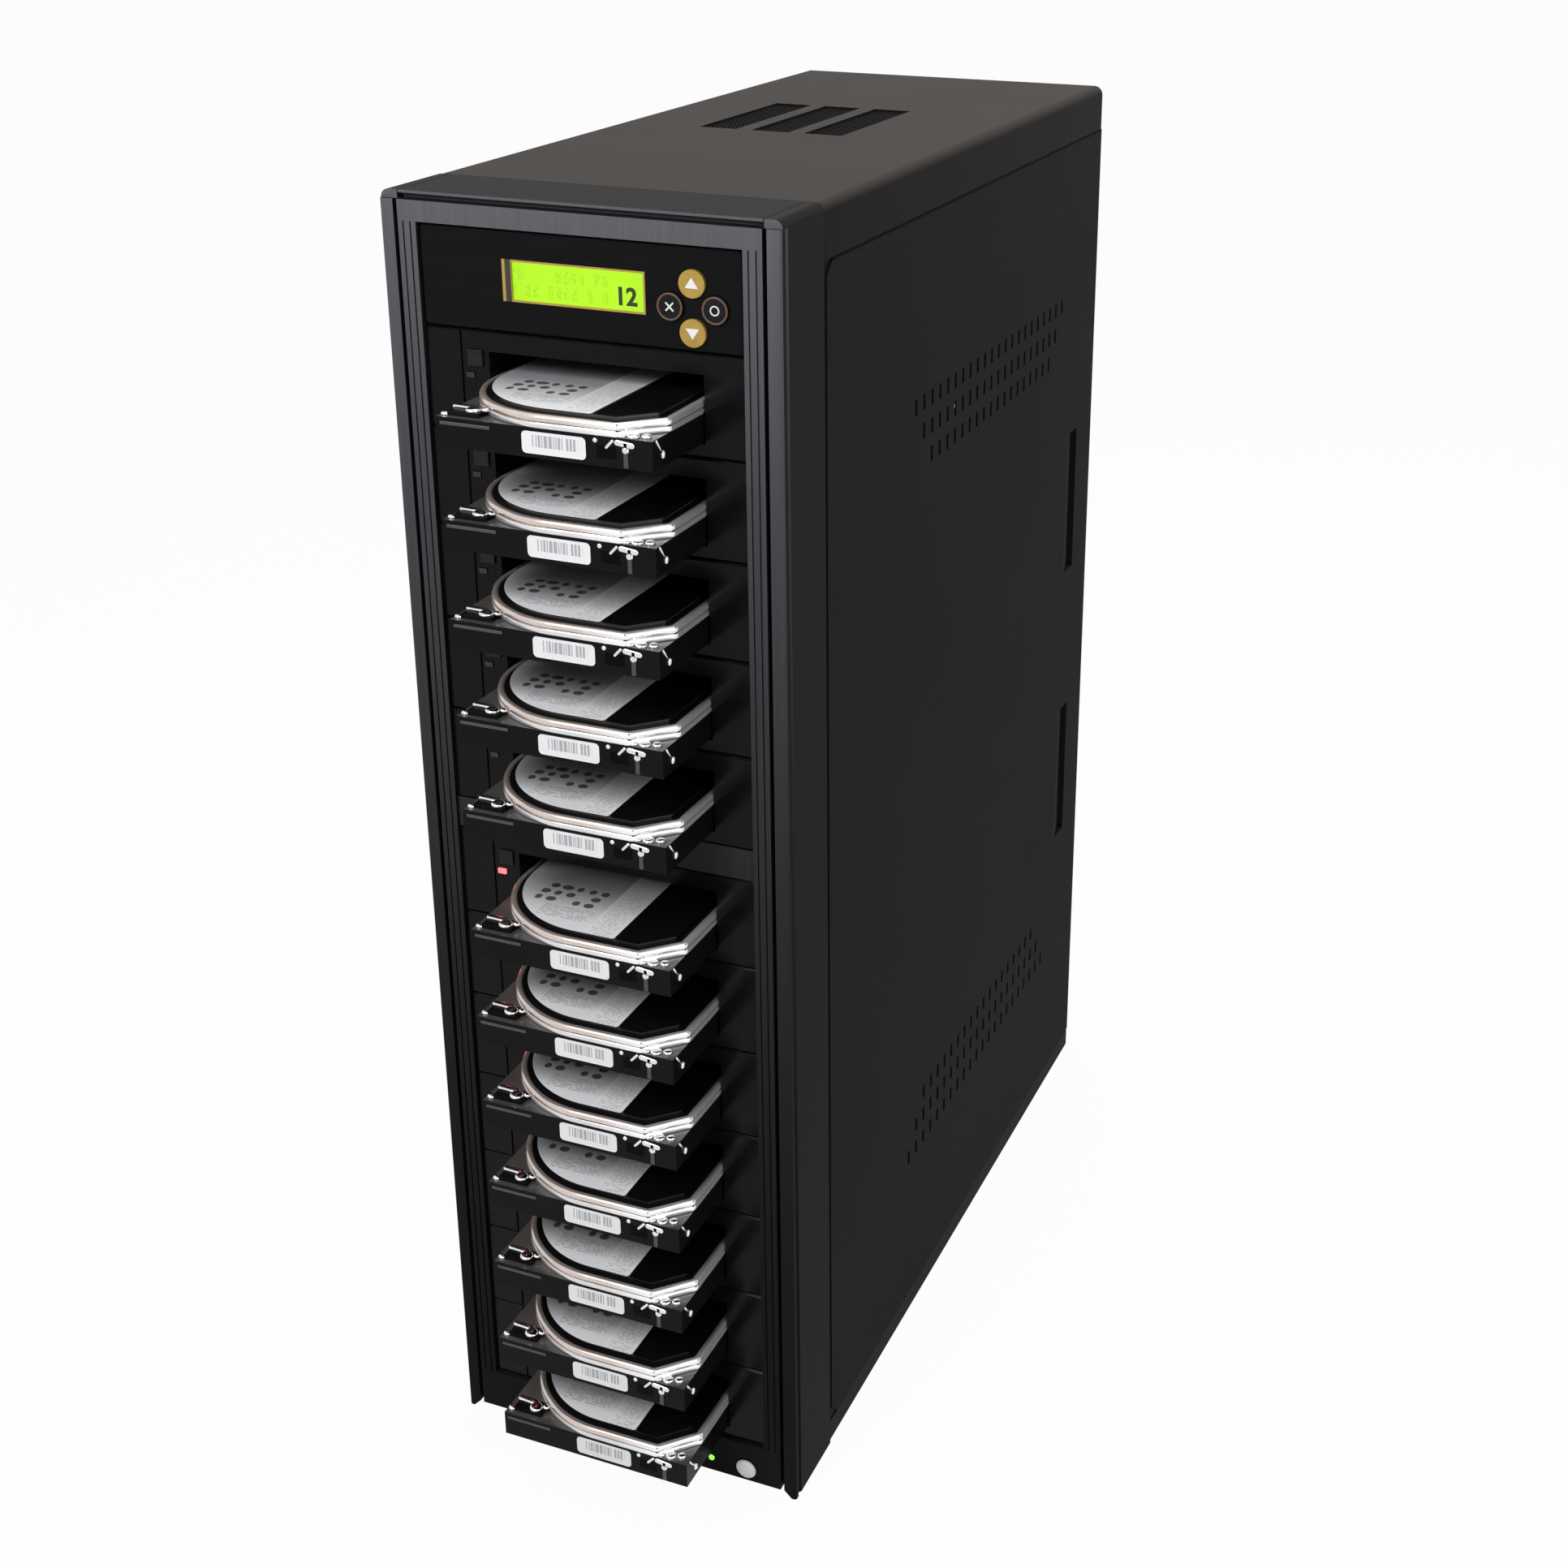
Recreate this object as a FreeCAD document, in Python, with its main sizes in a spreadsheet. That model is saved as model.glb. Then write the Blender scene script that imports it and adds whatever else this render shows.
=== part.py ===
import FreeCAD, Part
import math
import os
import re
import Sketcher

# Tower hard-disk duplicator: a sheet-steel case with a moulded front bezel, a control
# panel over twelve open-fronted disk bays, and a bare 3.5-inch disk seated in each bay.
#
# Frame: +X to the viewer's right when facing the front, +Y towards the rear, +Z up.
# The origin is under the middle of the whole object, on the surface that it stands on.
# Every size below is in millimetres. Y is counted from the front face of the bezel until
# a sub-part is published, which moves it by front_offset.

BAY_COUNT = 12
UPPER_BAYS = 5
BLADES = 7
BLADE_PITCH = 24
BORE_SIDES = 36
HUB_SIDES = 3 * BLADES
FLANGE_SIDES = 12
ROCKER_TILT = 7
PANEL_SLOTS = (22, 20, 18)

SIZES = {
    # case
    "case_width": 190.0,
    "brow_height": 13.0,
    "case_depth": 458.0,
    "sheet": 1.0,
    "foot_height": 2.0,
    "foot_size": 18.0,
    "foot_inset": 28.0,
    "cover_lip": 24.5,
    "cover_round": 5.0,
    "pan_lip": 11.5,
    "ledge": 12.0,
    "seam": 0.3,
    # bezel
    "bezel_depth": 44.0,
    "bezel_wall": 2.6,
    "column_face": 6.6,
    "column_groove": 2.0,
    "groove_depth": 4.0,
    "column_chamfer": 4.0,
    "column_round": 4.0,
    "bar_clearance": 3.7,
    "opening_half": 77.5,
    "top_lip": 1.2,
    "top_groove": 2.6,
    "rib_groove": 0.8,
    # bay stack
    "stack_bottom": 26.0,
    "bay_pitch": 45.6,
    "divider_height": 15.2,
    "plate_recess": 2.0,
    "plate_thickness": 4.0,
    "plate_gap": 0.5,
    "plate_edge": 0.8,
    "window_left": 46.0,
    "window_bottom": 6.0,
    "rack_half": 74.5,
    "socket_depth": 4.0,
    "socket_width": 42.0,
    "socket_inset": 8.0,
    "socket_lift": 3.0,
    "socket_height": 8.0,
    "plane_margin": 12.0,
    "rack_floor": 2.0,
    "rack_wall": 2.0,
    "rack_wall_height": 33.4,
    "strip_edge": 59.5,
    "button_x": 52.5,
    "button_z": 33.4,
    "button_size": 7.2,
    "button_clearance": 0.2,
    "indicator_x": 55.5,
    "indicator_z": 25.4,
    "indicator_width": 4.0,
    "indicator_height": 2.4,
    # disk drive
    "drive_width": 101.6,
    "drive_length": 147.0,
    "drive_height": 20.2,
    "drive_proud": 44.0,
    "drive_clearance": 1.1,
    "drive_lift": 0.6,
    "drive_headroom": 9.7,
    "shelf_height": 13.0,
    "rim_height": 18.4,
    "platter_radius": 50.0,
    "corner_chamfer": 16.0,
    "rim_width": 6.4,
    "clip_length": 15.0,
    "clip_width": 8.0,
    "clip_height": 2.2,
    "clip_inset": 4.0,
    "drive_board": 1.5,
    "board_recess": 0.6,
    "board_inset": 4.0,
    "board_run": 90.0,
    "drive_plug": 42.0,
    "plug_inset": 7.0,
    "plug_depth": 6.0,
    "plug_pocket": 10.0,
    # control panel
    "panel_recess": 1.5,
    "panel_thickness": 3.0,
    "panel_round": 2.5,
    "panel_tray": 56.0,
    "screen_left": 36.4,
    "screen_right": 32.0,
    "screen_lift": 14.4,
    "screen_height": 18.2,
    "screen_band": 4.6,
    "screen_rim": 0.8,
    "key_radius": 6.0,
    "key_x": 54.1,
    "key_flange": 0.7,
    "key_gap": 0.925,
    "key_margin": 2.0,
    "key_clearance": 0.3,
    "flange_thickness": 1.1,
    "flange_gap": 0.1,
    # power controls
    "power_x": 67.8,
    "power_z": 11.5,
    "power_radius": 5.4,
    "lamp_x": 48.0,
    "lamp_radius": 1.5,
    # side panels
    "slot_width": 3.0,
    "slot_height": 8.0,
    "slot_pitch": 11.2,
    "slot_rows": 14.5,
    "vent_front": 154.0,
    "upper_vent_drop": 113.0,
    "lower_vent_bottom": 100.0,
    "pull_front": 412.0,
    "pull_width": 18.0,
    "pull_depth": 3.6,
    "pull_height": 88.0,
    "upper_pull": 360.0,
    "lower_pull": 180.0,
    "panel_corner": 7.0,
    "panel_flange": 13.0,
    # top vents
    "screen_width": 20.5,
    "screen_length": 96.0,
    "screen_pitch": 29.0,
    "screen_centre": 9.7,
    "screen_front": 219.0,
    "screen_margin": 3.0,
    # inside
    "cage_length": 214.0,
    "board_front": 100.0,
    "board_length": 140.0,
    "board_bottom": 180.0,
    "board_height": 320.0,
    "board_gap": 5.0,
    "board_thickness": 1.6,
    "chip_size": 30.0,
    "fan_size": 120.0,
    "fan_depth": 25.0,
    "fan_slot": 5.0,
    "upper_fan_drop": 136.0,
    "lower_fan_z": 200.0,
    "fan_boss": 4.0,
    "shaft_radius": 1.6,
    "shaft_length": 3.0,
    "shaft_clearance": 0.2,
    "rear_fold": 10.0,
    "supply_half": 75.0,
    "supply_drop": 15.0,
    "supply_height": 86.0,
    "supply_length": 140.0,
    "supply_wall": 1.2,
    "supply_fan": 80.0,
    "supply_fan_x": 30.0,
    "inlet_x": 38.0,
    "inlet_lift": 58.0,
    "inlet_width": 27.0,
    "inlet_height": 19.6,
    "inlet_depth": 18.0,
    "rocker_lift": 25.0,
    "rocker_width": 11.0,
    "rocker_height": 15.0,
    "rocker_pin": 1.2,
    "rocker_clearance": 0.5,
    "screw_radius": 3.4,
    "screw_height": 2.0,
    "thumb_radius": 6.0,
    "thumb_length": 7.0,
    "thumb_inset": 8.0,
    "thumb_shank": 1.8,
    "thumb_clearance": 0.1,
    "upper_thumb_drop": 177.0,
    "lower_thumb": 120.0,
}

# Sizes that follow from the ones above. The case is as tall as its stack of bays, a bay's
# window fits its disk, and what hangs from the case's top moves with it.
TIED = {
    "divider_base": f"stack_bottom + {BAY_COUNT - UPPER_BAYS} * bay_pitch",
    "panel_base": f"stack_bottom + {BAY_COUNT} * bay_pitch + divider_height",
    "stack_top": "panel_base + bay_pitch",
    "case_height": "stack_top + brow_height",
    "face_top": "case_height - top_lip - top_groove",
    "shell_front": "bezel_depth + seam",
    "inner_half": "case_width / 2 - sheet",
    "frame_half": "case_width / 2 - column_face - column_groove",
    "window_right": "drive_width + 2 * drive_clearance - window_left",
    "window_height": "drive_lift + drive_height + drive_headroom",
    "rack_length": "drive_length - drive_proud + socket_depth - plate_recess - plate_thickness",
    "screen_bottom": "panel_base + screen_lift",
    "screen_top": "screen_bottom + screen_height",
    "key_spread": "sqrt(2) * (key_radius + key_flange) + key_gap",
    "key_z": "panel_base + key_margin + key_flange + key_radius + key_spread",
    "upper_vent_top": "case_height - upper_vent_drop",
    "supply_bottom": "case_height - supply_drop - supply_height",
    "inlet_z": "supply_bottom + inlet_lift",
    "rocker_z": "supply_bottom + rocker_lift",
    "upper_fan_z": "supply_bottom - upper_fan_drop",
    "thumb_x": "case_width / 2 - thumb_inset",
    "upper_thumb": "case_height - upper_thumb_drop",
    "front_offset": "-(case_depth + seam + sheet + thumb_length - drive_proud) / 2",
}

doc = FreeCAD.newDocument("duplicator")
sizes = doc.addObject("Spreadsheet::Sheet", "sizes")
cells = {word: str(value) for word, value in SIZES.items()}
cells.update({word: "=" + text for word, text in TIED.items()})
for row, (word, text) in enumerate(cells.items(), start=1):
    sizes.set(f"A{row}", word)
    sizes.setAlias(f"B{row}", word)
    sizes.set(f"B{row}", text)
doc.recompute()


# --- building blocks ---------------------------------------------------------------

def formula(text):
    """Point every size word in a formula at its cell of the sheet."""
    return re.sub(r"[a-z_]+", lambda found: "sizes." + found.group() if found.group() in cells
                  else found.group(), str(text))


def number(text):
    """Work a formula out from the cells, for code that has to have a plain value."""
    cell = re.sub(r"[a-z_]+", lambda found: str(sizes.get(found.group())), str(text))
    return float(FreeCAD.Units.Quantity(cell))


def bind(thing, **formulas):
    for name, text in formulas.items():
        thing.setExpression(name.replace("__", "."), formula(text))


def place(thing, x="0", y="0", z="0"):
    for axis, text in zip("xyz", (x, y, z)):
        thing.setExpression(f"Placement.Base.{axis}", formula(text))


def block(name, x, y, z):
    """A box between two formulas along each axis."""
    box = doc.addObject("Part::Box", name)
    bind(box, Length=f"({x[1]}) - ({x[0]})", Width=f"({y[1]}) - ({y[0]})", Height=f"({z[1]}) - ({z[0]})")
    place(box, x[0], y[0], z[0])
    return box


def rod(name, radius, x, y, z):
    """A cylinder that lies front to back between the two formulas of y."""
    cylinder = doc.addObject("Part::Cylinder", name)
    bind(cylinder, Radius=radius, Height=f"({y[1]}) - ({y[0]})")
    cylinder.Placement.Rotation = FreeCAD.Rotation(FreeCAD.Vector(1, 0, 0), -90)
    place(cylinder, x, y[0], z)
    return cylinder


def prism(name, sides, radius, x, y, z):
    """A regular many-sided bar that lies front to back between the two formulas of y."""
    bar = doc.addObject("Part::Prism", name)
    bar.Polygon = sides
    bind(bar, Circumradius=radius, Height=f"({y[1]}) - ({y[0]})")
    bar.Placement.Rotation = FreeCAD.Rotation(FreeCAD.Vector(1, 0, 0), -90)
    place(bar, x, y[0], z)
    return bar


def join(name, pieces):
    fusion = doc.addObject("Part::MultiFuse", name)
    fusion.Shapes = pieces
    fusion.Refine = True
    return fusion


def gather(name, pieces):
    """Separate solids under one name, at the places they already have."""
    group = doc.addObject("Part::Compound", name)
    group.Links = pieces
    return group


def cut(name, base, tools):
    cutting = doc.addObject("Part::Cut", name)
    cutting.Base = base
    cutting.Tool = gather(name + "_tools", tools) if len(tools) > 1 else tools[0]
    return cutting


def mirror(name, source):
    """The same piece on the other side of the case's middle plane."""
    twin = doc.addObject("Part::Mirroring", name)
    twin.Source = source
    twin.Normal = FreeCAD.Vector(1, 0, 0)
    return twin


def new_body(name):
    return doc.addObject("PartDesign::Body", name)


def plane_sketch(body, role, start):
    """A sketch on one of the body's own origin planes, moved along its axis to start."""
    drawing = body.newObject("Sketcher::SketchObject", body.Name + "_sketch")
    plane = next(part for part in body.Origin.OriginFeatures if part.Role == role)
    drawing.AttachmentSupport = [(plane, "")]
    drawing.MapMode = "FlatFace"
    facing = "-1 * " if role == "XZ_Plane" else ""
    drawing.setExpression("AttachmentOffset.Base.z", formula(f"{facing}({start})"))
    return drawing


def outline(drawing, corners):
    """Closed straight-sided outline with the place of every corner bound to its formulas."""
    first = drawing.GeometryCount
    values = [FreeCAD.Vector(number(x), number(y), 0) for x, y in corners]
    count = len(corners)
    for index in range(count):
        drawing.addGeometry(Part.LineSegment(values[index], values[(index + 1) % count]), False)
    for index in range(count):
        follower = first + (index + 1) % count
        drawing.addConstraint(Sketcher.Constraint("Coincident", first + index, 2, follower, 1))
    for index, (x, y) in enumerate(corners):
        for kind, text in (("DistanceX", x), ("DistanceY", y)):
            constraint = Sketcher.Constraint(kind, -1, 1, first + index, 1, number(text))
            at = drawing.addConstraint(constraint)
            drawing.setExpression(f"Constraints[{at}]", formula(text))


def rectangle(drawing, x, y):
    outline(drawing, [(x[0], y[0]), (x[1], y[0]), (x[1], y[1]), (x[0], y[1])])


def circle(drawing, x, y, radius):
    centre = FreeCAD.Vector(number(x), number(y), 0)
    ring = drawing.addGeometry(Part.Circle(centre, FreeCAD.Vector(0, 0, 1), number(radius)), False)
    for kind, text, ends in (("DistanceX", x, (-1, 1, ring, 3)), ("DistanceY", y, (-1, 1, ring, 3)),
                             ("Radius", radius, (ring,))):
        at = drawing.addConstraint(Sketcher.Constraint(kind, *ends, number(text)))
        drawing.setExpression(f"Constraints[{at}]", formula(text))


def octagon(drawing, x, y, radius):
    """Eight-sided outline with its corners on a circle, two of them on its level diameter."""
    turns = [step * math.pi / 4 for step in range(8)]
    outline(drawing, [(f"{x} + {radius} * {math.cos(turn):.4f}", f"{y} + {radius} * {math.sin(turn):.4f}")
                      for turn in turns])


def pad(body, drawing, length):
    """Extrude a sketch towards +X, +Y or +Z."""
    feature = body.newObject("PartDesign::Pad", body.Name + "_pad")
    feature.Profile = drawing
    feature.Reversed = drawing.AttachmentSupport[0][0].Role == "XZ_Plane"
    bind(feature, Length=length)
    return feature


def pocket(body, drawing, length):
    """Cut a sketch out towards +X, +Y or +Z."""
    feature = body.newObject("PartDesign::Pocket", body.Name + "_pocket")
    feature.Profile = drawing
    feature.Reversed = drawing.AttachmentSupport[0][0].Role != "XZ_Plane"
    bind(feature, Length=length)
    return feature


def edges_where(feature, test):
    """Names of the feature's edges whose bounding box passes the test."""
    doc.recompute()
    return [f"Edge{index}" for index, edge in enumerate(feature.Shape.Edges, start=1) if test(edge)]


def dress(body, kind, feature, names, **formulas):
    """Fillet or chamfer some edges of the feature built last."""
    finish = body.newObject("PartDesign::" + kind, body.Name + "_" + kind.lower())
    finish.Base = (feature, names)
    bind(finish, **formulas)
    return finish


def upright(edge):
    return edge.BoundBox.ZLength > 1 and edge.BoundBox.XLength < 0.01 and edge.BoundBox.YLength < 0.01


def lengthwise(edge):
    return edge.BoundBox.YLength > 1 and edge.BoundBox.XLength < 0.01 and edge.BoundBox.ZLength < 0.01


published = []


def publish(thing, label, x="0", y="0", z="0"):
    """Name a finished sub-part and put it at its place in the object's frame."""
    thing.Label = label
    place(thing, x, f"front_offset + ({y})", z)
    published.append(thing)


def bay_base(bay):
    """Height of a bay's lower edge. Bays are counted down from the control panel."""
    above = " + divider_height" if bay <= UPPER_BAYS else ""
    return f"stack_bottom + {BAY_COUNT - bay} * bay_pitch{above}"


# --- bezel -------------------------------------------------------------------------

def bezel_frame():
    """Moulded frame round the bays: two stiles, a top band, the divider and the lower bar."""
    slab = block("frame_slab", ("-frame_half", "frame_half"), ("0", "bezel_depth"),
                 ("bar_clearance", "case_height"))
    opening = ("-opening_half", "opening_half")
    through = ("-1", "bezel_depth + 1")
    hollow = ("bezel_wall", "bezel_depth + 1")
    hollow_half = "frame_half - bezel_wall"
    stile_inner = "opening_half + bezel_wall"
    tools = [
        block("upper_opening", opening, through, ("divider_base + divider_height", "stack_top")),
        block("lower_opening", opening, through, ("stack_bottom", "divider_base")),
        block("divider_step", opening, ("-1", "plate_recess"),
              ("divider_base", "divider_base + divider_height")),
        block("divider_back", opening, ("plate_recess + bezel_wall", "bezel_depth + 1"),
              ("divider_base", "divider_base + divider_height")),
        block("brow_groove", ("-frame_half - 1", "frame_half + 1"), ("-1", "groove_depth + 2"),
              ("face_top", "face_top + top_groove")),
        block("lip_step", ("-frame_half - 1", "frame_half + 1"), ("-1", "1.5"),
              ("face_top", "case_height + 1")),
        block("top_hollow", (f"-({hollow_half})", hollow_half), ("groove_depth + 5", "bezel_depth + 1"),
              ("stack_top + bezel_wall", "case_height - bezel_wall")),
        block("bar_hollow", (f"-({hollow_half})", hollow_half), hollow,
              ("bar_clearance + sheet", "stack_bottom - bezel_wall")),
        rod("power_bore", "power_radius + key_clearance", "power_x", ("-1", "bezel_wall + 1"), "power_z"),
        rod("lamp_bore", "lamp_radius + button_clearance", "lamp_x", ("-1", "bezel_wall + 1"), "power_z"),
    ]
    for side in (-1, 1):
        near, far = sorted((f"{side} * ({stile_inner})", f"{side} * ({hollow_half})"), key=number)
        tools.append(block("stile_hollow", (near, far), hollow, ("stack_bottom", "stack_top")))
        for step in (0.3, 0.7):
            middle = f"{side} * (opening_half + {step} * (frame_half - opening_half))"
            tools.append(block("rib_line", (f"{middle} - rib_groove / 2", f"{middle} + rib_groove / 2"),
                               ("-1", "rib_groove"), ("stack_bottom", "stack_top")))
    publish(cut("bezel_frame", slab, tools), "bezel_frame")


def bezel_columns():
    """Outer corner columns: an L section with a shadow groove, a rounded cap and a foot."""
    body = new_body("column_right")
    outer = "case_width / 2"
    inner = "frame_half + 0.4"
    face = "case_width / 2 - column_face"
    section = plane_sketch(body, "XY_Plane", "0")
    outline(section, [
        (face, "0"), (f"{outer} - 0.8", "0"), (outer, "0.8"), (outer, "3"), (f"{outer} - 0.9", "3.9"),
        (f"{outer} - 0.9", "5.7"), (outer, "6.6"), (outer, "bezel_depth"),
        (f"{outer} - bezel_wall", "bezel_depth"), (f"{outer} - bezel_wall", "groove_depth + 5"),
        (inner, "groove_depth + 5"), (inner, "groove_depth"), (face, "groove_depth")])
    pad(body, section, "face_top")
    cap = plane_sketch(body, "XY_Plane", "face_top")
    rectangle(cap, (inner, outer), ("1.5", "bezel_depth"))
    crown = pad(body, cap, "top_lip + top_groove")
    rounded = edges_where(crown, lambda edge: lengthwise(edge) and edge.BoundBox.XMin > number(outer) - 0.1
                          and edge.BoundBox.ZMin > number("case_height") - 0.1)
    crown = dress(body, "Fillet", crown, rounded, Radius="column_round - 0.3")
    foot = plane_sketch(body, "XY_Plane", "0")
    rectangle(foot, (f"{face} + column_chamfer", outer), ("6.6", "bezel_depth"))
    pad(body, foot, "bezel_wall")
    corner = plane_sketch(body, "XZ_Plane", "-1")
    cut_in = f"{face} + column_chamfer"
    outline(corner, [(f"{inner} - 1", "-1"), (cut_in, "-1"), (cut_in, "0"), (face, "column_chamfer"),
                     (f"{inner} - 1", "column_chamfer")])
    body.Tip = pocket(body, corner, "bezel_depth")
    publish(gather("bezel_columns", [body, mirror("column_left", body)]), "bezel_columns")


def control_panel():
    """Glossy blanking panel that carries the display and the four keys, with its tray."""
    body = new_body("panel_body")
    half = "opening_half - plate_gap"
    bottom = "panel_base + plate_gap"
    top = "stack_top - plate_gap"
    face = plane_sketch(body, "XZ_Plane", "panel_recess")
    rectangle(face, (f"-({half})", half), (bottom, top))
    plate = pad(body, face, "panel_thickness")
    plate = dress(body, "Fillet", plate, edges_where(plate, lengthwise), Radius="panel_round")
    front = edges_where(plate, lambda edge: edge.BoundBox.YMax < number("panel_recess") + 0.01)
    dress(body, "Chamfer", plate, front, Size="plate_edge")
    tray = plane_sketch(body, "XZ_Plane", "panel_recess + panel_thickness")
    floor = f"{bottom} + sheet"
    wall_top = f"{bottom} + rack_wall_height"
    outline(tray, [
        ("-rack_half", bottom), ("rack_half", bottom), ("rack_half", wall_top),
        ("rack_half - rack_wall", wall_top), ("rack_half - rack_wall", floor),
        ("-rack_half + rack_wall", floor), ("-rack_half + rack_wall", wall_top), ("-rack_half", wall_top)])
    pad(body, tray, "panel_tray")
    holes = plane_sketch(body, "XZ_Plane", "0")
    rectangle(holes, ("-screen_left", "screen_right"), ("screen_bottom", "screen_top"))
    for x, z in key_places().values():
        circle(holes, x, z, "key_radius + key_clearance")
    body.Tip = pocket(body, holes, "panel_recess + panel_thickness + 1")
    publish(body, "control_panel")


def key_places():
    """The keys stand in a diamond: up, down, left and right of its middle."""
    return {"key_up": ("key_x", "key_z + key_spread"), "key_down": ("key_x", "key_z - key_spread"),
            "key_back": ("key_x - key_spread", "key_z"), "key_enter": ("key_x + key_spread", "key_z")}


def keys():
    """Round keys with a retaining flange behind the panel."""
    back = "panel_recess + panel_thickness"
    depth = (f"{back} + flange_gap", f"{back} + flange_gap + flange_thickness")
    for name, (x, z) in key_places().items():
        cap = rod(name + "_cap", "key_radius", "0", ("0", depth[1]), "0")
        flange = prism(name + "_flange", FLANGE_SIDES, "key_radius + key_flange", "0", depth, "0")
        publish(join(name, [cap, flange]), name, x=x, z=z)


def display():
    """Metal-coloured surround and the lit display block with its circuit board."""
    depth = ("panel_recess - 0.6", "panel_recess + panel_thickness")
    outside = block("surround_block", ("-screen_left", "screen_right"), depth,
                    ("screen_bottom", "screen_top"))
    window = (("-screen_left + screen_band", "screen_right - screen_rim"),
              ("screen_bottom + screen_rim", "screen_top - screen_rim"))
    hole = block("surround_hole", window[0], ("-1", "10"), window[1])
    publish(cut("screen_surround", outside, [hole]), "screen_surround")
    glass = block("screen_glass", window[0], ("panel_recess + 0.3", f"{depth[1]} + 0.4"), window[1])
    board = block("screen_board", ("-screen_left - 8", "screen_right + 1"),
                  (f"{depth[1]} + 0.4", f"{depth[1]} + 2"),
                  ("panel_base + plate_gap + sheet", "screen_top + 7"))
    publish(join("screen_module", [glass, board]), "screen_module")


# --- bays and drives ---------------------------------------------------------------

def bay_rack():
    """One open-fronted rack: a front plate with its window, and the chute behind it."""
    body = new_body("rack_body")
    front = "plate_recess"
    half = "opening_half - plate_gap"
    top = "bay_pitch - 0.25"
    face = plane_sketch(body, "XZ_Plane", front)
    rectangle(face, (f"-({half})", half), ("0.25", top))
    plate = pad(body, face, "plate_thickness")
    rims = edges_where(plate, lambda edge: edge.BoundBox.YMax < number(front) + 0.01
                       and edge.BoundBox.XLength > 1)
    dress(body, "Chamfer", plate, rims, Size="plate_edge")
    holes = plane_sketch(body, "XZ_Plane", f"{front} - 1")
    rectangle(holes, ("-window_left", "window_right"), ("window_bottom", "window_bottom + window_height"))
    reach = "button_size / 2 + button_clearance"
    rectangle(holes, (f"-button_x - ({reach})", f"-button_x + {reach}"),
              (f"button_z - ({reach})", f"button_z + {reach}"))
    wide = "indicator_width / 2 + button_clearance"
    high = "indicator_height / 2 + button_clearance"
    rectangle(holes, (f"-indicator_x - ({wide})", f"-indicator_x + {wide}"),
              (f"indicator_z - ({high})", f"indicator_z + {high}"))
    pocket(body, holes, "plate_thickness + 2")
    seam = plane_sketch(body, "XZ_Plane", f"{front} - 1")
    rectangle(seam, ("-strip_edge - 0.6", "-strip_edge + 0.6"), ("-1", "bay_pitch + 1"))
    pocket(body, seam, "1.8")
    floor_top = "window_bottom + drive_lift"
    floor_bottom = f"{floor_top} - rack_floor"
    wall_top = f"{floor_bottom} + rack_wall_height"
    left = "-window_left"
    right = "window_right"
    chute = plane_sketch(body, "XZ_Plane", f"{front} + plate_thickness")
    outline(chute, [
        ("-rack_half", floor_bottom), ("rack_half", floor_bottom), ("rack_half", wall_top),
        ("rack_half - rack_wall", wall_top), ("rack_half - rack_wall", floor_top),
        (f"{right} + rack_wall", floor_top), (f"{right} + rack_wall", wall_top), (right, wall_top),
        (right, floor_top), (left, floor_top), (left, wall_top), (f"{left} - rack_wall", wall_top),
        (f"{left} - rack_wall", floor_top), ("-rack_half + rack_wall", floor_top),
        ("-rack_half + rack_wall", wall_top), ("-rack_half", wall_top)])
    body.Tip = pad(body, chute, "rack_length")
    return body


def placed_copy(name, master, z):
    copy = gather(name, [master])
    place(copy, z=z)
    return copy


def bay_racks():
    master = bay_rack()
    bays = range(1, BAY_COUNT + 1)
    racks = {bay: placed_copy(f"rack_{bay:02d}", master, bay_base(bay)) for bay in bays}
    upper = [racks[bay] for bay in bays if bay <= UPPER_BAYS]
    lower = [racks[bay] for bay in bays if bay > UPPER_BAYS]
    publish(gather("bay_racks_upper", upper), "bay_racks_upper")
    publish(gather("bay_racks_lower", lower), "bay_racks_lower")


def bay_buttons():
    """Square power button of each bay, with a flange that stops it falling out forwards."""
    half = "button_size / 2"
    back = "plate_recess + plate_thickness"
    depth = (f"{back} + flange_gap", f"{back} + flange_gap + flange_thickness")
    cap = block("button_cap", (f"-{half}", half), ("plate_recess - 1.2", depth[1]), (f"-{half}", half))
    rim = f"{half} + key_flange"
    flange = block("button_flange", (f"-({rim})", rim), depth, (f"-({rim})", rim))
    master = join("button_master", [cap, flange])
    for bay in range(1, BAY_COUNT + 1):
        name = f"bay_button_{bay:02d}"
        publish(gather(name, [master]), name, x="-button_x", z=f"{bay_base(bay)} + button_z")


def bay_indicators():
    """Light pipe of the indicator beside every bay's window."""
    wide = "indicator_width / 2"
    high = "indicator_height / 2"
    depth = ("plate_recess - 0.6", "plate_recess + plate_thickness + 2")
    master = block("light_pipe", (f"-indicator_x - {wide}", f"-indicator_x + {wide}"), depth,
                   (f"indicator_z - {high}", f"indicator_z + {high}"))
    pipes = [placed_copy(f"light_pipe_{bay:02d}", master, bay_base(bay)) for bay in range(1, BAY_COUNT + 1)]
    publish(gather("bay_indicators", pipes), "bay_indicators")


def backplanes():
    """Circuit board on the back of each rack, with the socket that the drive plugs into."""
    wall = "plate_recess + plate_thickness + rack_length"
    drive_end = "drive_length - drive_proud"
    board = block("plane_board", ("-window_left - plane_margin", "window_right + plane_margin"),
                  (wall, f"{wall} + board_thickness"), ("window_bottom - 1", "bay_pitch - 4"))
    far = "window_right - socket_inset"
    socket = block("plane_socket", (f"{far} - socket_width", far), (f"{drive_end} + 0.3", wall),
                   ("window_bottom + socket_lift", "window_bottom + socket_lift + socket_height"))
    master = join("plane_master", [board, socket])
    boards = [placed_copy(f"backplane_{bay:02d}", master, bay_base(bay)) for bay in range(1, BAY_COUNT + 1)]
    publish(gather("backplanes", boards), "backplanes")


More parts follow.
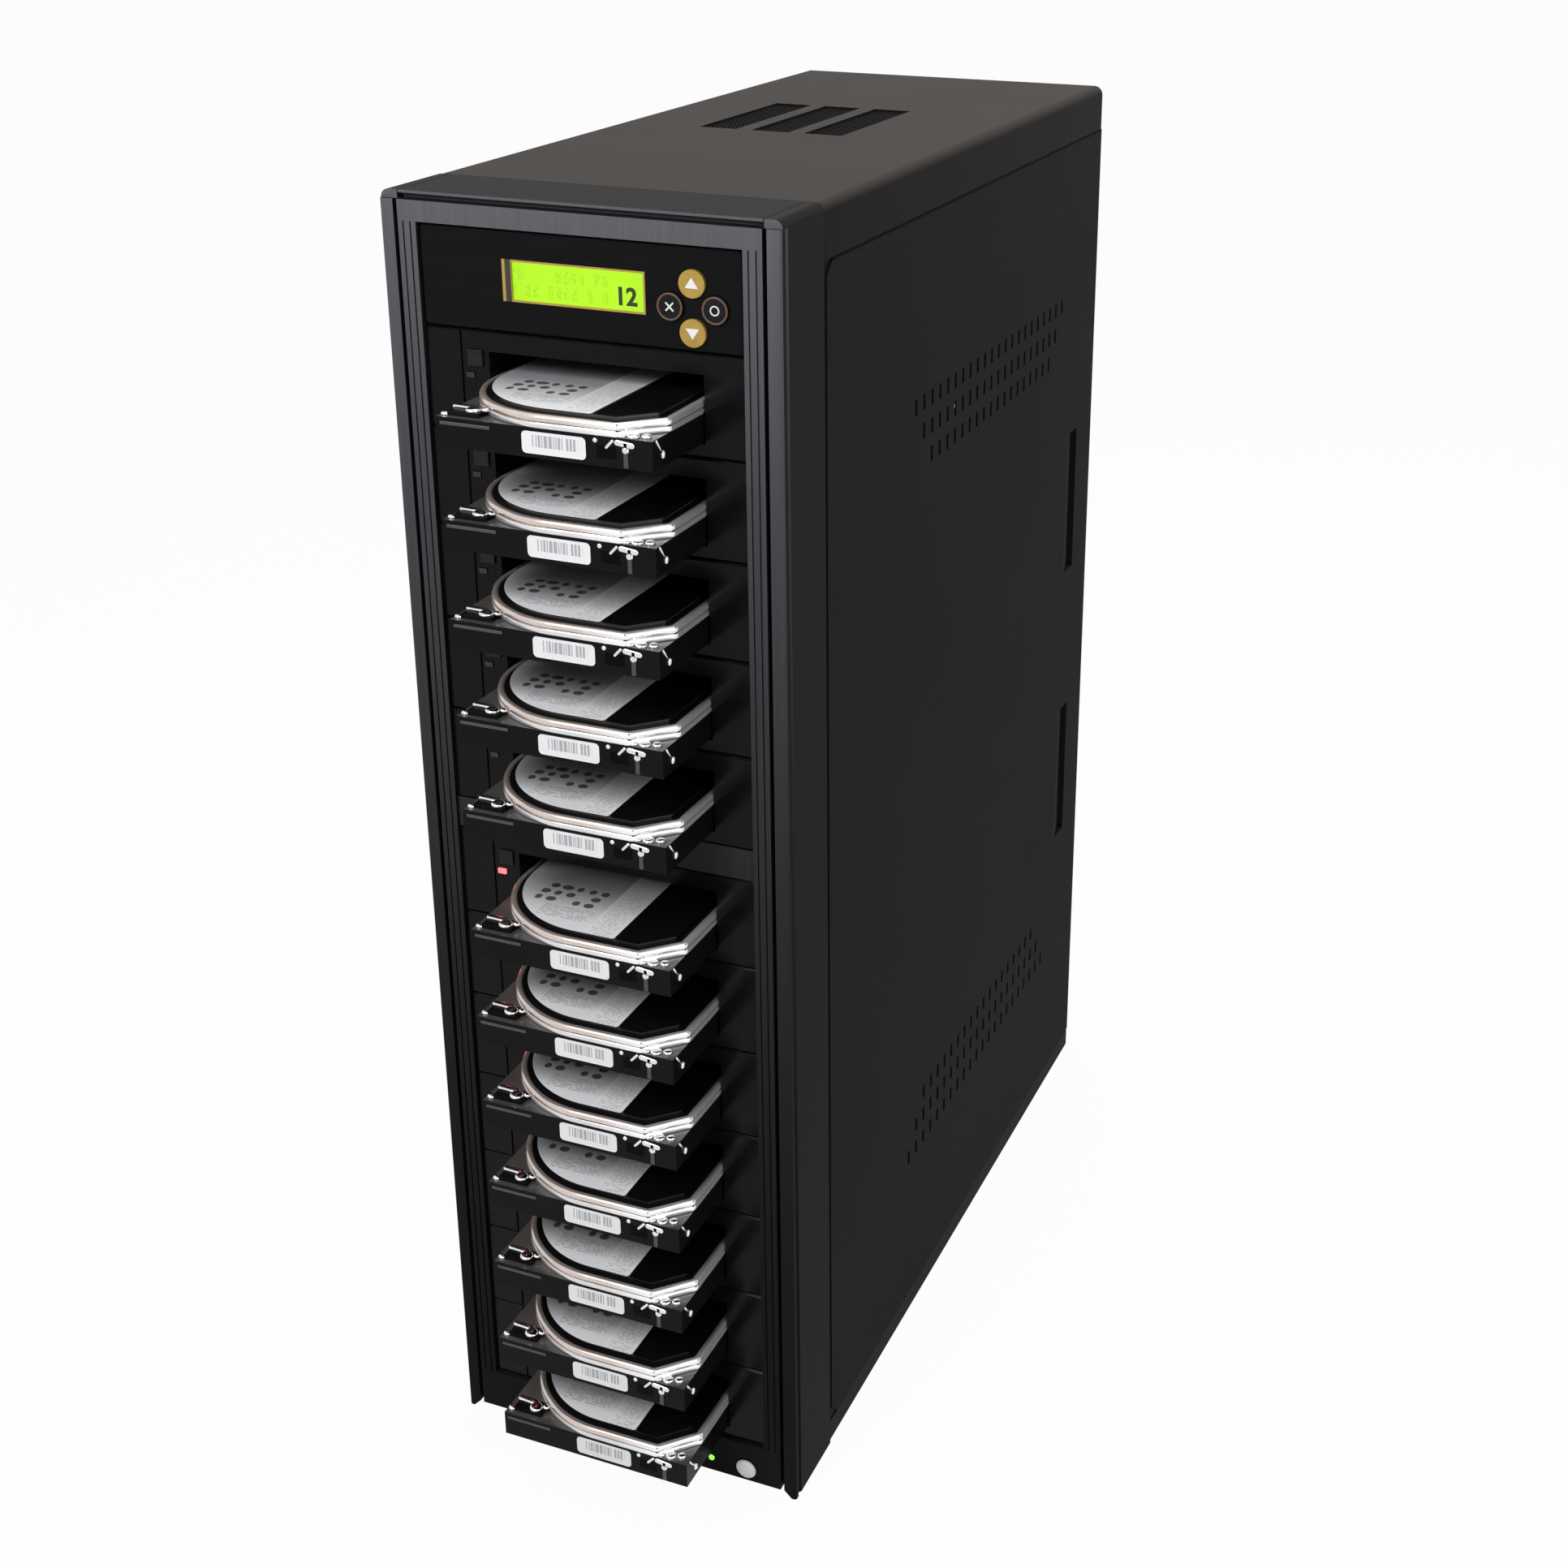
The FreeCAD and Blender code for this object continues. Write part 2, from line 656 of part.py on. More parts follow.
def drive_casting():
    """Base casting: full footprint, with pockets for the circuit board and the plug."""
    body = new_body("drive_casting")
    half = "drive_width / 2"
    footprint = plane_sketch(body, "XY_Plane", "0")
    rectangle(footprint, (f"-{half}", half), ("0", "drive_length"))
    pad(body, footprint, "shelf_height")
    board = plane_sketch(body, "XY_Plane", "-1")
    rectangle(board, (f"-{half} + board_inset", f"{half} - board_inset"),
              ("drive_length - plug_depth - board_run", "drive_length - plug_depth"))
    pocket(body, board, "1 + drive_board + board_recess")
    plug = plane_sketch(body, "XY_Plane", "-1")
    rectangle(plug, (f"{half} - plug_inset - drive_plug", f"{half} - plug_inset"),
              ("drive_length - plug_depth", "drive_length + 1"))
    body.Tip = pocket(body, plug, "plug_pocket")
    return body


def cover_plate(name, inset, bottom, top):
    """Plate of the drive's cover: a quarter arc round the platters and a cut corner."""
    body = new_body(name)
    half = f"drive_width / 2 - {inset}"
    footprint = plane_sketch(body, "XY_Plane", bottom)
    rectangle(footprint, (f"-({half})", half), (inset, f"drive_length - {inset}"))
    feature = pad(body, footprint, f"{top} - {bottom}")
    left = edges_where(feature, lambda edge: upright(edge) and edge.BoundBox.YMax < 10
                       and edge.BoundBox.XMax < 0)
    feature = dress(body, "Fillet", feature, left, Radius=f"platter_radius - {inset}")
    right = edges_where(feature, lambda edge: upright(edge) and edge.BoundBox.YMax < 10
                        and edge.BoundBox.XMin > number(half) - 1)
    body.Tip = dress(body, "Chamfer", feature, right, Size=f"corner_chamfer - (2 - sqrt(2)) * {inset}")
    return body


def drive_cover():
    """Stamped cover: a rim that follows the platters' arc, and the raised middle."""
    rim = cover_plate("cover_rim", "0", "shelf_height", "rim_height")
    raised = cover_plate("cover_raised", "rim_width", "rim_height", "drive_height")
    return join("drive_cover", [rim, raised])


def hard_drives():
    """Bare 3.5-inch disks, platter end outwards, each seated in its bay."""
    half = "drive_width / 2"
    clip = block("drive_clip", (f"-{half} + clip_inset", f"-{half} + clip_inset + clip_length"),
                 ("clip_inset - 1", "clip_inset - 1 + clip_width"),
                 ("shelf_height", "shelf_height + clip_height"))
    board = block("drive_board_plate", (f"-{half} + board_inset + 1", f"{half} - board_inset - 1"),
                  ("drive_length - plug_depth - board_run + 1", "drive_length - plug_depth - 1"),
                  ("board_recess", "drive_board + board_recess"))
    plug = block("drive_plug_block",
                 (f"{half} - plug_inset - drive_plug + 0.2", f"{half} - plug_inset - 0.2"),
                 ("drive_length - plug_depth", "drive_length"), ("1.5", "plug_pocket - 1.2"))
    pieces = [drive_casting(), drive_cover(), clip, board, plug]
    middle = "(window_right - window_left) / 2"
    for bay in range(1, BAY_COUNT + 1):
        name = f"hard_drive_{bay:02d}"
        base = f"{bay_base(bay)} + window_bottom + drive_lift"
        publish(gather(name, pieces), name, x=middle, y="-drive_proud", z=base)


# --- power controls ----------------------------------------------------------------

def power_controls():
    """Round power button and its lamp in the lower bar."""
    cap = rod("power_cap", "power_radius", "0", ("-1", "bezel_wall + 4"), "0")
    flange = prism("power_flange", FLANGE_SIDES, "power_radius + key_flange + 0.2", "0",
                   ("bezel_wall + flange_gap", "bezel_wall + flange_gap + flange_thickness"), "0")
    publish(join("power_button", [cap, flange]), "power_button", x="power_x", z="power_z")
    lens = rod("lamp_lens", "lamp_radius", "0", ("-0.4", "bezel_wall + 3"), "0")
    publish(gather("power_lamp", [lens]), "power_lamp", x="lamp_x", z="power_z")


# --- steel case --------------------------------------------------------------------

def bottom_pan():
    """Folded floor pan with outer lips and the ledges that the side panels slide on."""
    outer = "case_width / 2"
    length = ("shell_front", "case_depth")
    floor = block("pan_floor", (f"-{outer}", outer), length, ("foot_height", "foot_height + sheet"))
    pieces = [floor]
    for side in (-1, 1):
        lip = sorted((f"{side} * inner_half", f"{side} * ({outer})"), key=number)
        ledge = sorted((f"{side} * (inner_half - sheet)", f"{side} * inner_half"), key=number)
        pieces.append(block("pan_lip_wall", lip, length, ("foot_height", "foot_height + pan_lip")))
        pieces.append(block("pan_ledge", ledge, ("bezel_depth + 3", "case_depth - 2"),
                            ("foot_height + 1", "foot_height + pan_lip + ledge")))
    publish(join("bottom_pan", pieces), "bottom_pan")


def rubber_feet():
    """Low square pads stuck under the pan's corners."""
    half = "foot_size / 2"
    pads = []
    for x in ("-case_width / 2 + foot_inset", "case_width / 2 - foot_inset"):
        for y in ("bezel_depth + foot_inset", "case_depth - foot_inset"):
            pads.append(block("foot_pad", (f"{x} - {half}", f"{x} + {half}"),
                              (f"{y} - {half}", f"{y} + {half}"), ("0", "foot_height")))
    publish(gather("rubber_feet", pads), "rubber_feet")


def rounded_bar(name, half, bottom, top, y, radius):
    """A bar along the case whose two upper long edges are rounded."""
    body = new_body(name)
    face = plane_sketch(body, "XZ_Plane", y[0])
    rectangle(face, (f"-({half})", half), (bottom, top))
    feature = pad(body, face, f"({y[1]}) - ({y[0]})")
    upper = edges_where(feature, lambda edge: lengthwise(edge) and edge.BoundBox.ZMin > number(top) - 0.1)
    body.Tip = dress(body, "Fillet", feature, upper, Radius=radius)
    return body


def vent_places():
    """Middle of each of the three top vents, which lie side by side."""
    return [f"-screen_centre + {step} * screen_pitch" for step in (-1, 0, 1)]


def top_cover():
    """Wrap-over cover with rounded long edges, side lips, ledges and three vent windows."""
    lip_end = "case_height - cover_lip"
    outside = rounded_bar("cover_outside", "case_width / 2", lip_end, "case_height",
                          ("shell_front", "case_depth"), "cover_round")
    inside = rounded_bar("cover_inside", "inner_half", f"{lip_end} - 1", "case_height - sheet",
                         ("shell_front - 1", "case_depth + 1"), "cover_round - sheet")
    tools = [inside]
    for x in vent_places():
        tools.append(block("vent_window", (f"{x} - screen_width / 2", f"{x} + screen_width / 2"),
                           ("screen_front", "screen_front + screen_length"),
                           ("case_height - 5", "case_height + 1")))
    shell = cut("cover_shell", outside, tools)
    pieces = [shell]
    for side in (-1, 1):
        ledge = sorted((f"{side} * (inner_half - sheet)", f"{side} * inner_half"), key=number)
        pieces.append(block("cover_ledge", ledge, ("bezel_depth + 3", "case_depth - 2"),
                            (f"{lip_end} - ledge", f"{lip_end} + ledge")))
    publish(join("top_cover", pieces), "top_cover")


def vent_screens():
    """Fine perforated screens under the cover's vent windows."""
    screens = []
    for x in vent_places():
        reach = "screen_width / 2 + screen_margin"
        screens.append(block("vent_screen", (f"{x} - ({reach})", f"{x} + {reach}"),
                             ("screen_front - screen_margin",
                              "screen_front + screen_length + screen_margin"),
                             ("case_height - sheet - 0.8", "case_height - sheet")))
    publish(gather("vent_screens", screens), "vent_screens")


def front_plate():
    """Steel front behind the bezel, with the tall opening for the bay stack and side folds."""
    y = ("shell_front", "shell_front + sheet")
    fold_half = "inner_half - sheet"
    top = "case_height - sheet - 1.6"
    face = block("plate_face", (f"-({fold_half})", fold_half), y, ("foot_height + sheet", top))
    pieces = [face]
    for side in (-1, 1):
        fold = sorted((f"{side} * ({fold_half} - sheet)", f"{side} * ({fold_half})"), key=number)
        pieces.append(block("plate_fold", fold, ("shell_front", "shell_front + 14"),
                            ("foot_height + sheet", "case_height - cover_lip")))
    opening = block("plate_opening", ("-rack_half - 1", "rack_half + 1"),
                    ("shell_front - 1", f"{y[1]} + 1"), ("stack_bottom - 4", "stack_top + 2"))
    publish(cut("front_plate", join("plate_folded", pieces), [opening]), "front_plate")


def round_grille(name, x, z, radius, y, slot, gap):
    """Horizontal slots that fill a circle, each as long as the circle is wide there."""
    pitch = slot + gap
    rows = int(radius // pitch)
    tools = []
    for row in range(-rows, rows + 1):
        height = row * pitch
        half = math.sqrt(max(0, radius ** 2 - (abs(height) + slot / 2) ** 2))
        if half > slot:
            tools.append(block(name, (f"{x} - {half:.3f}", f"{x} + {half:.3f}"), y,
                               (f"{z} + {height} - {slot / 2}", f"{z} + {height} + {slot / 2}")))
    return tools


def rear_panel():
    """Back of the case: two slotted fan grilles, the power supply's cut-out and its shelf."""
    y = ("case_depth - sheet", "case_depth")
    half = "inner_half - sheet"
    bottom = "foot_height + sheet"
    top = "case_height - sheet - 1.6"
    face = block("rear_face", (f"-({half})", half), y, (bottom, top))
    shelf = block("supply_shelf", ("-supply_half + 5", "supply_half - 5"), ("case_depth - 40", "case_depth"),
                  ("supply_bottom - sheet", "supply_bottom"))
    pieces = [face, shelf]
    for side in (-1, 1):
        fold = sorted((f"{side} * ({half} - sheet)", f"{side} * ({half})"), key=number)
        pieces.append(block("rear_fold", fold, ("case_depth - rear_fold", "case_depth"),
                            (f"{bottom} + 1", "case_height - cover_lip - ledge - 1")))
    through = ("case_depth - sheet - 1", "case_depth + 1")
    slot = number("fan_slot")
    tools = [block("supply_cutout", ("-supply_half + 4", "supply_half - 4"), through,
                   ("supply_bottom + 4", "supply_bottom + supply_height - 4"))]
    for z in ("upper_fan_z", "lower_fan_z"):
        tools += round_grille("fan_slot_cut", "0", z, number("fan_size") * 0.47, through, slot, slot * 0.7)
    for x in ("-thumb_x", "thumb_x"):
        for z in ("upper_thumb", "lower_thumb"):
            tools.append(prism("thumb_bore", 8, "thumb_shank + 0.6", x, through, z))
    publish(cut("rear_panel", join("rear_folded", pieces), tools), "rear_panel")


def slot_row(body, drawing_start, front, bottom, count, depth):
    """A row of upright vent slots through the side panel."""
    first = plane_sketch(body, "YZ_Plane", drawing_start)
    rectangle(first, (front, f"{front} + slot_width"), (bottom, f"{bottom} + slot_height"))
    feature = pocket(body, first, depth)
    pattern = body.newObject("PartDesign::LinearPattern", body.Name + "_row")
    pattern.Originals = [feature]
    pattern.Direction = (first, ["H_Axis"])
    pattern.Occurrences = count
    bind(pattern, Length=f"{count - 1} * slot_pitch")
    body.Tip = pattern


def finger_pull(body, bottom):
    """Stamped pull: a ramp that sinks towards the rear and ends in an upright wall."""
    outer = "case_width / 2"
    rear = "pull_front + pull_width"
    window = plane_sketch(body, "YZ_Plane", f"{outer} - sheet - 1")
    rectangle(window, ("pull_front", rear), (bottom, f"{bottom} + pull_height"))
    pocket(body, window, "sheet + 2")
    deep = f"{outer} - pull_depth"
    inner = f"{outer} - sheet"
    ramp = plane_sketch(body, "XY_Plane", bottom)
    outline(ramp, [(outer, "pull_front"), (deep, rear), (inner, rear), (inner, f"{rear} + sheet"),
                   (f"{deep} - sheet", f"{rear} + sheet"), (f"{deep} - sheet", rear),
                   (inner, "pull_front")])
    pad(body, ramp, "pull_height")
    for end in (f"{bottom} - sheet", f"{bottom} + pull_height"):
        cap = plane_sketch(body, "XY_Plane", end)
        outline(cap, [(inner, "pull_front"), (f"{deep} - sheet", rear),
                      (f"{deep} - sheet", f"{rear} + sheet"), (inner, f"{rear} + sheet")])
        body.Tip = pad(body, cap, "sheet")


def side_panels():
    """Slide-off side panels: two vent groups, two pulls and a folded rear flange."""
    body = new_body("panel_right")
    outer = "case_width / 2"
    front = "bezel_depth + 2.5"
    rear = "case_depth + seam + sheet"
    bottom = "foot_height + pan_lip + seam"
    top = "case_height - cover_lip - seam"
    face = plane_sketch(body, "YZ_Plane", "inner_half")
    outline(face, [
        (f"{front} + panel_corner", bottom), (rear, bottom), (rear, top), (f"{front} + panel_corner", top),
        (front, f"{top} - panel_corner"), (front, f"{bottom} + panel_corner")])
    pad(body, face, "sheet")
    flange = plane_sketch(body, "XY_Plane", f"{bottom} + 4")
    rectangle(flange, (f"{outer} - panel_flange", outer), ("case_depth + seam", rear))
    pad(body, flange, f"({top}) - ({bottom}) - 8")
    bores = plane_sketch(body, "XZ_Plane", "case_depth")
    for z in ("upper_thumb", "lower_thumb"):
        octagon(bores, "thumb_x", z, "(thumb_shank + thumb_clearance)")
    pocket(body, bores, "5")
    for pull_bottom in ("upper_pull", "lower_pull"):
        finger_pull(body, pull_bottom)
    start = "inner_half - 1"
    depth = "sheet + 2"
    for step, count in enumerate(PANEL_SLOTS):
        row_front = f"vent_front + {step} * slot_pitch"
        slot_row(body, start, row_front, f"upper_vent_top - slot_height - {step} * slot_rows", count, depth)
        slot_row(body, start, row_front, f"lower_vent_bottom + {step} * slot_rows", count, depth)
    publish(mirror("panel_left", body), "side_panel_left")
    publish(gather("panel_right_placed", [body]), "side_panel_right")


def thumb_screws():
    """Fluted screws that hold each side panel's flange to the back of the case."""
    head = ("case_depth + seam + sheet", "case_depth + seam + sheet + thumb_length")
    for label, x in (("thumb_screws_left", "-thumb_x"), ("thumb_screws_right", "thumb_x")):
        screws = []
        for z in ("upper_thumb", "lower_thumb"):
            knob = prism("thumb_knob", 14, "thumb_radius", x, head, z)
            shank = prism("thumb_shank", 8, "thumb_shank", x, ("case_depth - 6", head[1]), z)
            screws.append(join("thumb_screw", [knob, shank]))
        publish(gather(label, screws), label)


# --- inside ------------------------------------------------------------------------

def bay_cage():
    """Two upright steel sheets that the racks are screwed to."""
    y = ("shell_front + sheet", "shell_front + sheet + cage_length")
    z = ("foot_height + sheet", "stack_top")
    left = block("cage_left", ("-rack_half - sheet", "-rack_half"), y, z)
    right = block("cage_right", ("rack_half", "rack_half + sheet"), y, z)
    publish(gather("bay_cage", [left, right]), "bay_cage")


def controller_board():
    """Copy controller on stand-offs outside the left cage sheet, with a socket per cable."""
    wall = "-rack_half - sheet"
    face = f"{wall} - board_gap"
    back = f"{face} - board_thickness"
    pieces = [block("main_board", (back, face), ("board_front", "board_front + board_length"),
                    ("board_bottom", "board_bottom + board_height"))]
    for z in ("board_bottom + 10", "board_bottom + board_height - 10"):
        for y in ("board_front + 8", "board_front + board_length - 8"):
            pieces.append(block("standoff", (face, wall), (f"{y} - 2.5", f"{y} + 2.5"),
                                (f"{z} - 2.5", f"{z} + 2.5")))
    middle = "board_front + board_length / 2"
    for step in range(3):
        z = f"board_bottom + 50 + {step} * 90"
        pieces.append(block("board_chip", (f"{face} - 4", back), (f"{middle} - chip_size", middle),
                            (z, f"{z} + chip_size")))
    for step in range(6):
        z = f"board_bottom + 30 + {step} * 42"
        pieces.append(block("board_socket", (f"{face} - 8", back), (f"{middle} + 42", f"{middle} + 58"),
                            (z, f"{z} + 20")))
    publish(join("controller_board", pieces), "controller_board")


def fan(name, size, x, z, rear):
    """Axial fan: a square frame with its bore and spider, and a bladed rotor."""
    front = f"{rear} - fan_depth"
    bore = f"0.48 * {size}"
    hub = f"0.165 * {size}"
    frame = block(name + "_block", (f"{x} - {size} / 2", f"{x} + {size} / 2"), (front, rear),
                  (f"{z} - {size} / 2", f"{z} + {size} / 2"))
    opening = prism(name + "_bore", BORE_SIDES, bore, x, (f"{front} - 1", f"{rear} + 1"), z)
    boss_front = f"{rear} - 1 - fan_boss"
    spider = [cut(name + "_ring", frame, [opening]),
              prism(name + "_boss", HUB_SIDES, hub, x, (boss_front, f"{rear} - 1"), z)]
    arm = f"0.49 * {size}"
    spider.append(block(name + "_arm", (f"{x} - {arm}", f"{x} + {arm}"), (f"{rear} - 4", f"{rear} - 1.5"),
                        (f"{z} - 2", f"{z} + 2")))
    spider.append(block(name + "_post", (f"{x} - 2", f"{x} + 2"), (f"{rear} - 4", f"{rear} - 1.5"),
                        (f"{z} - {arm}", f"{z} + {arm}")))
    depth = "(fan_depth - fan_boss - 2.3)"
    shaft_end = f"{depth} + 0.3 + shaft_length"
    parts = [prism(name + "_hub", HUB_SIDES, hub, "0", ("0", depth), "0"),
             rod(name + "_shaft", "shaft_radius", "0", ("0", shaft_end), "0")]
    lay = FreeCAD.Rotation(FreeCAD.Vector(0, 0, 1), FreeCAD.Vector(1, 0, 0), FreeCAD.Vector(0, 1, 0), "XYZ")
    for step in range(BLADES):
        blade = doc.addObject("Part::Wedge", name + "_blade")
        bind(blade, Ymin=f"0.9 * {hub}", Ymax=f"0.45 * {size}",
             Xmin=f"-0.085 * {size}", Xmax=f"0.085 * {size}", Zmin="-0.8", Zmax="0.8",
             X2min=f"-0.13 * {size}", X2max=f"0.15 * {size}", Z2min="-0.6", Z2max="0.6")
        turn = FreeCAD.Rotation(FreeCAD.Vector(0, 1, 0), 360 * step / BLADES)
        blade.Placement.Rotation = turn * lay * FreeCAD.Rotation(FreeCAD.Vector(0, 1, 0), BLADE_PITCH)
        place(blade, "0", f"{depth} / 2", "0")
        parts.append(blade)
    rotor = join(name + "_rotor", parts)
    publish(rotor, name + "_rotor", x=x, y=f"{front} + 1", z=z)
    bearing = rod(name + "_bearing", "shaft_radius + shaft_clearance", x,
                  (f"{boss_front} - 1", f"{boss_front} + shaft_length + 0.3"), z)
    return cut(name + "_frame", join(name + "_spider", spider), [bearing])


def fans():
    rear = "case_depth - sheet"
    frames = [fan("upper_fan", "fan_size", "0", "upper_fan_z", rear),
              fan("lower_fan", "fan_size", "0", "lower_fan_z", rear),
              fan("supply_fan", "supply_fan", "-supply_fan_x", "supply_bottom + supply_height / 2",
                  f"{rear} - supply_wall")]
    publish(gather("fan_frames", frames), "fan_frames")


def power_supply():
    """Steel-cased supply: its rear wall has the fan grille, the mains inlet and a switch."""
    rear = "case_depth - sheet"
    front = f"{rear} - supply_length"
    z = ("supply_bottom", "supply_bottom + supply_height")
    outside = block("supply_block", ("-supply_half", "supply_half"), (front, rear), z)
    inside = block("supply_inside", ("-supply_half + supply_wall", "supply_half - supply_wall"),
                   (f"{front} + supply_wall", f"{rear} - supply_wall"),
                   (f"{z[0]} + supply_wall", f"{z[1]} - supply_wall"))
    through = (f"{rear} - supply_wall - 1", f"{rear} + 1")
    tools = [inside]
    tools += round_grille("supply_slot", "-supply_fan_x", "supply_bottom + supply_height / 2",
                          number("supply_fan") * 0.47, through, 4.0, 3.0)
    tools.append(block("inlet_hole", ("inlet_x - inlet_width / 2", "inlet_x + inlet_width / 2"), through,
                       ("inlet_z - inlet_height / 2", "inlet_z + inlet_height / 2")))
    half = "(rocker_width / 2 + rocker_clearance)"
    tools.append(block("rocker_hole", (f"inlet_x - {half}", f"inlet_x + {half}"), through,
                       ("rocker_z - rocker_height / 2 - 1", "rocker_z + rocker_height / 2 + 1")))
    for step in range(8):
        x = f"-supply_half + 16 + {step} * 16.5"
        tools.append(block("supply_intake", (x, f"{x} + 4"), (f"{front} - 1", f"{front} + supply_wall + 1"),
                           ("supply_bottom + 14", "supply_bottom + supply_height - 14")))
    publish(cut("power_supply", outside, tools), "power_supply")


def mains_inlet():
    """Three-blade mains inlet with its flange on the supply's rear wall."""
    face = "case_depth - sheet"
    half_wide = "inlet_width / 2"
    half_high = "inlet_height / 2"
    shell = block("inlet_shell", (f"-{half_wide}", half_wide), ("-inlet_depth", "1.2"),
                  (f"-{half_high}", half_high))
    flange = block("inlet_flange", (f"-{half_wide} - 2", f"{half_wide} + 2"), ("0", "1.2"),
                   (f"-{half_high} - 1.5", f"{half_high} + 1.5"))
    cavity = block("inlet_cavity", (f"-{half_wide} + 1.5", f"{half_wide} - 1.5"), ("-inlet_depth + 2", "3"),
                   (f"-{half_high} + 1.6", f"{half_high} - 1.6"))
    housing = cut("inlet_housing", join("inlet_solid", [shell, flange]), [cavity])
    blades = [housing]
    for x, z in (("-7", "-2"), ("0", "2"), ("7", "-2")):
        blades.append(block("inlet_blade", (f"{x} - 1", f"{x} + 1"), ("-inlet_depth + 1", "-3"),
                            (f"{z} - 2", f"{z} + 2")))
    publish(join("mains_inlet", blades), "mains_inlet", x="inlet_x", y=face, z="inlet_z")


def supply_rocker():
    """Rocker switch, tipped to one side, on a level axis at the supply's rear wall."""
    body = new_body("rocker_body")
    half = "rocker_height / 2"
    side = plane_sketch(body, "YZ_Plane", "-rocker_width / 2")
    outline(side, [("-4", f"-{half} + 2"), ("1.6", f"-{half}"), ("0.4", "0"), ("1.6", half),
                   ("-4", f"{half} - 2")])
    body.Tip = pad(body, side, "rocker_width")
    body.Placement.Rotation = FreeCAD.Rotation(FreeCAD.Vector(1, 0, 0), -ROCKER_TILT)
    pin = doc.addObject("Part::Cylinder", "rocker_pivot")
    reach = "(rocker_width / 2 + rocker_clearance - 0.1)"
    bind(pin, Radius="rocker_pin", Height=f"2 * {reach}")
    pin.Placement.Rotation = FreeCAD.Rotation(FreeCAD.Vector(0, 1, 0), 90)
    place(pin, x=f"-{reach}")
    rocker = join("rocker_and_pivot", [body, pin])
    publish(rocker, "supply_rocker", x="inlet_x", y="case_depth - sheet", z="rocker_z")


def case_screws():
    """Hexagon screw heads that hold the fans and the supply to the back of the case."""
    y = ("case_depth", "case_depth + screw_height")
    places = []
    for z in ("upper_fan_z", "lower_fan_z"):
        for x_side in (-1, 1):
            for z_side in (-1, 1):
                places.append((f"{x_side} * 0.4375 * fan_size", f"{z} + {z_side} * 0.4375 * fan_size"))
    for x, z in (("-supply_half + 2", "supply_bottom - 3"), ("supply_half - 2", "supply_bottom - 3"),
                 ("-supply_half + 2", "supply_bottom + supply_height + 2"),
                 ("supply_half - 2", "supply_bottom + supply_height + 2")):
        places.append((x, z))
    heads = [prism("screw_head", 6, "screw_radius", x, y, z) for x, z in places]
    publish(gather("case_screws", heads), "case_screws")


bezel_frame()
bezel_columns()
control_panel()
keys()
display()
bay_racks()
bay_buttons()
bay_indicators()
backplanes()
hard_drives()
power_controls()
bottom_pan()
rubber_feet()
top_cover()
vent_screens()
front_plate()
rear_panel()
side_panels()
thumb_screws()
bay_cage()
controller_board()
fans()
power_supply()
mains_inlet()
supply_rocker()
case_screws()
doc.recompute()


# --- checks and files --------------------------------------------------------------

faults = []
for thing in doc.Objects:
    if "Invalid" in thing.State or "Error" in thing.State:
        faults.append(f"{thing.Name} failed to build")
    if thing.TypeId == "PartDesign::Pocket" and thing.Shape.Volume >= thing.BaseFeature.Shape.Volume:
        faults.append(f"{thing.Name} cuts nothing")
for thing in published:
    if thing.Shape.isNull() or not thing.Shape.isValid() or not thing.Shape.Solids:
        faults.append(f"{thing.Label} has no sound shape")
if faults:
    raise RuntimeError("; ".join(faults))

os.makedirs("parts", exist_ok=True)
for thing in published:
    thing.Shape.exportStep(f"parts/{thing.Label}.step")
print(len(published), "sub-parts written")
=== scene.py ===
import math
import bpy
import numpy as np
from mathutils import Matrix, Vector


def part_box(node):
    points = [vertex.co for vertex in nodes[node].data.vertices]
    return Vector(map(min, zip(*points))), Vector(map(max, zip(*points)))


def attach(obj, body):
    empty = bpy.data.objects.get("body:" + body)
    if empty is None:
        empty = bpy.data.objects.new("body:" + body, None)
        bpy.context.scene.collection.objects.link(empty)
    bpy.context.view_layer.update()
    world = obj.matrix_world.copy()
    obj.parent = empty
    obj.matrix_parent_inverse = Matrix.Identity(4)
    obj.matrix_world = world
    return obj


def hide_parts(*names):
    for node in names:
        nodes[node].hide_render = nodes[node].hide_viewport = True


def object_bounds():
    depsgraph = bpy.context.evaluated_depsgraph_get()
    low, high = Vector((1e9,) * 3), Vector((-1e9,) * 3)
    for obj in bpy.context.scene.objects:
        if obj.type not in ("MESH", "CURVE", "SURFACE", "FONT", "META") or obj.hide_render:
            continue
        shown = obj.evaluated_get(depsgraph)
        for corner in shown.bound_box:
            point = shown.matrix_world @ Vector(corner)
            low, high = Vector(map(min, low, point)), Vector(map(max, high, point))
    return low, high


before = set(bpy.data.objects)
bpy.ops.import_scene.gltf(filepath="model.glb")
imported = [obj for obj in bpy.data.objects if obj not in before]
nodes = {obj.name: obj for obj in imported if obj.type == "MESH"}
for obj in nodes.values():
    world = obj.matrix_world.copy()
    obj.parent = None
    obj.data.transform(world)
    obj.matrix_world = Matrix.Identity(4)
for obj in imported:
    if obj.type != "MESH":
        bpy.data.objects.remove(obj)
cad_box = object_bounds()


# --- Camera ------------------------------------------------------------------------
# A normal lens stands to the right of the tower, above it and close in front, so the
# upright edges draw together towards the floor. The film is shifted a little, as on a
# camera whose back is kept nearer to upright than its view.

camera_data = bpy.data.cameras.new("camera")
camera_data.sensor_width = 36.0
camera_data.lens = 50.28
camera_data.shift_x = -0.069
camera_data.shift_y = -0.116
camera = bpy.data.objects.new("camera", camera_data)
camera.location = (0.4563, -1.0111, 0.8115)
camera.rotation_euler = [math.radians(turn) for turn in (69.518, -0.336, 21.458)]
bpy.context.scene.collection.objects.link(camera)
bpy.context.scene.camera = camera
bpy.context.scene.view_settings.view_transform = "Standard"


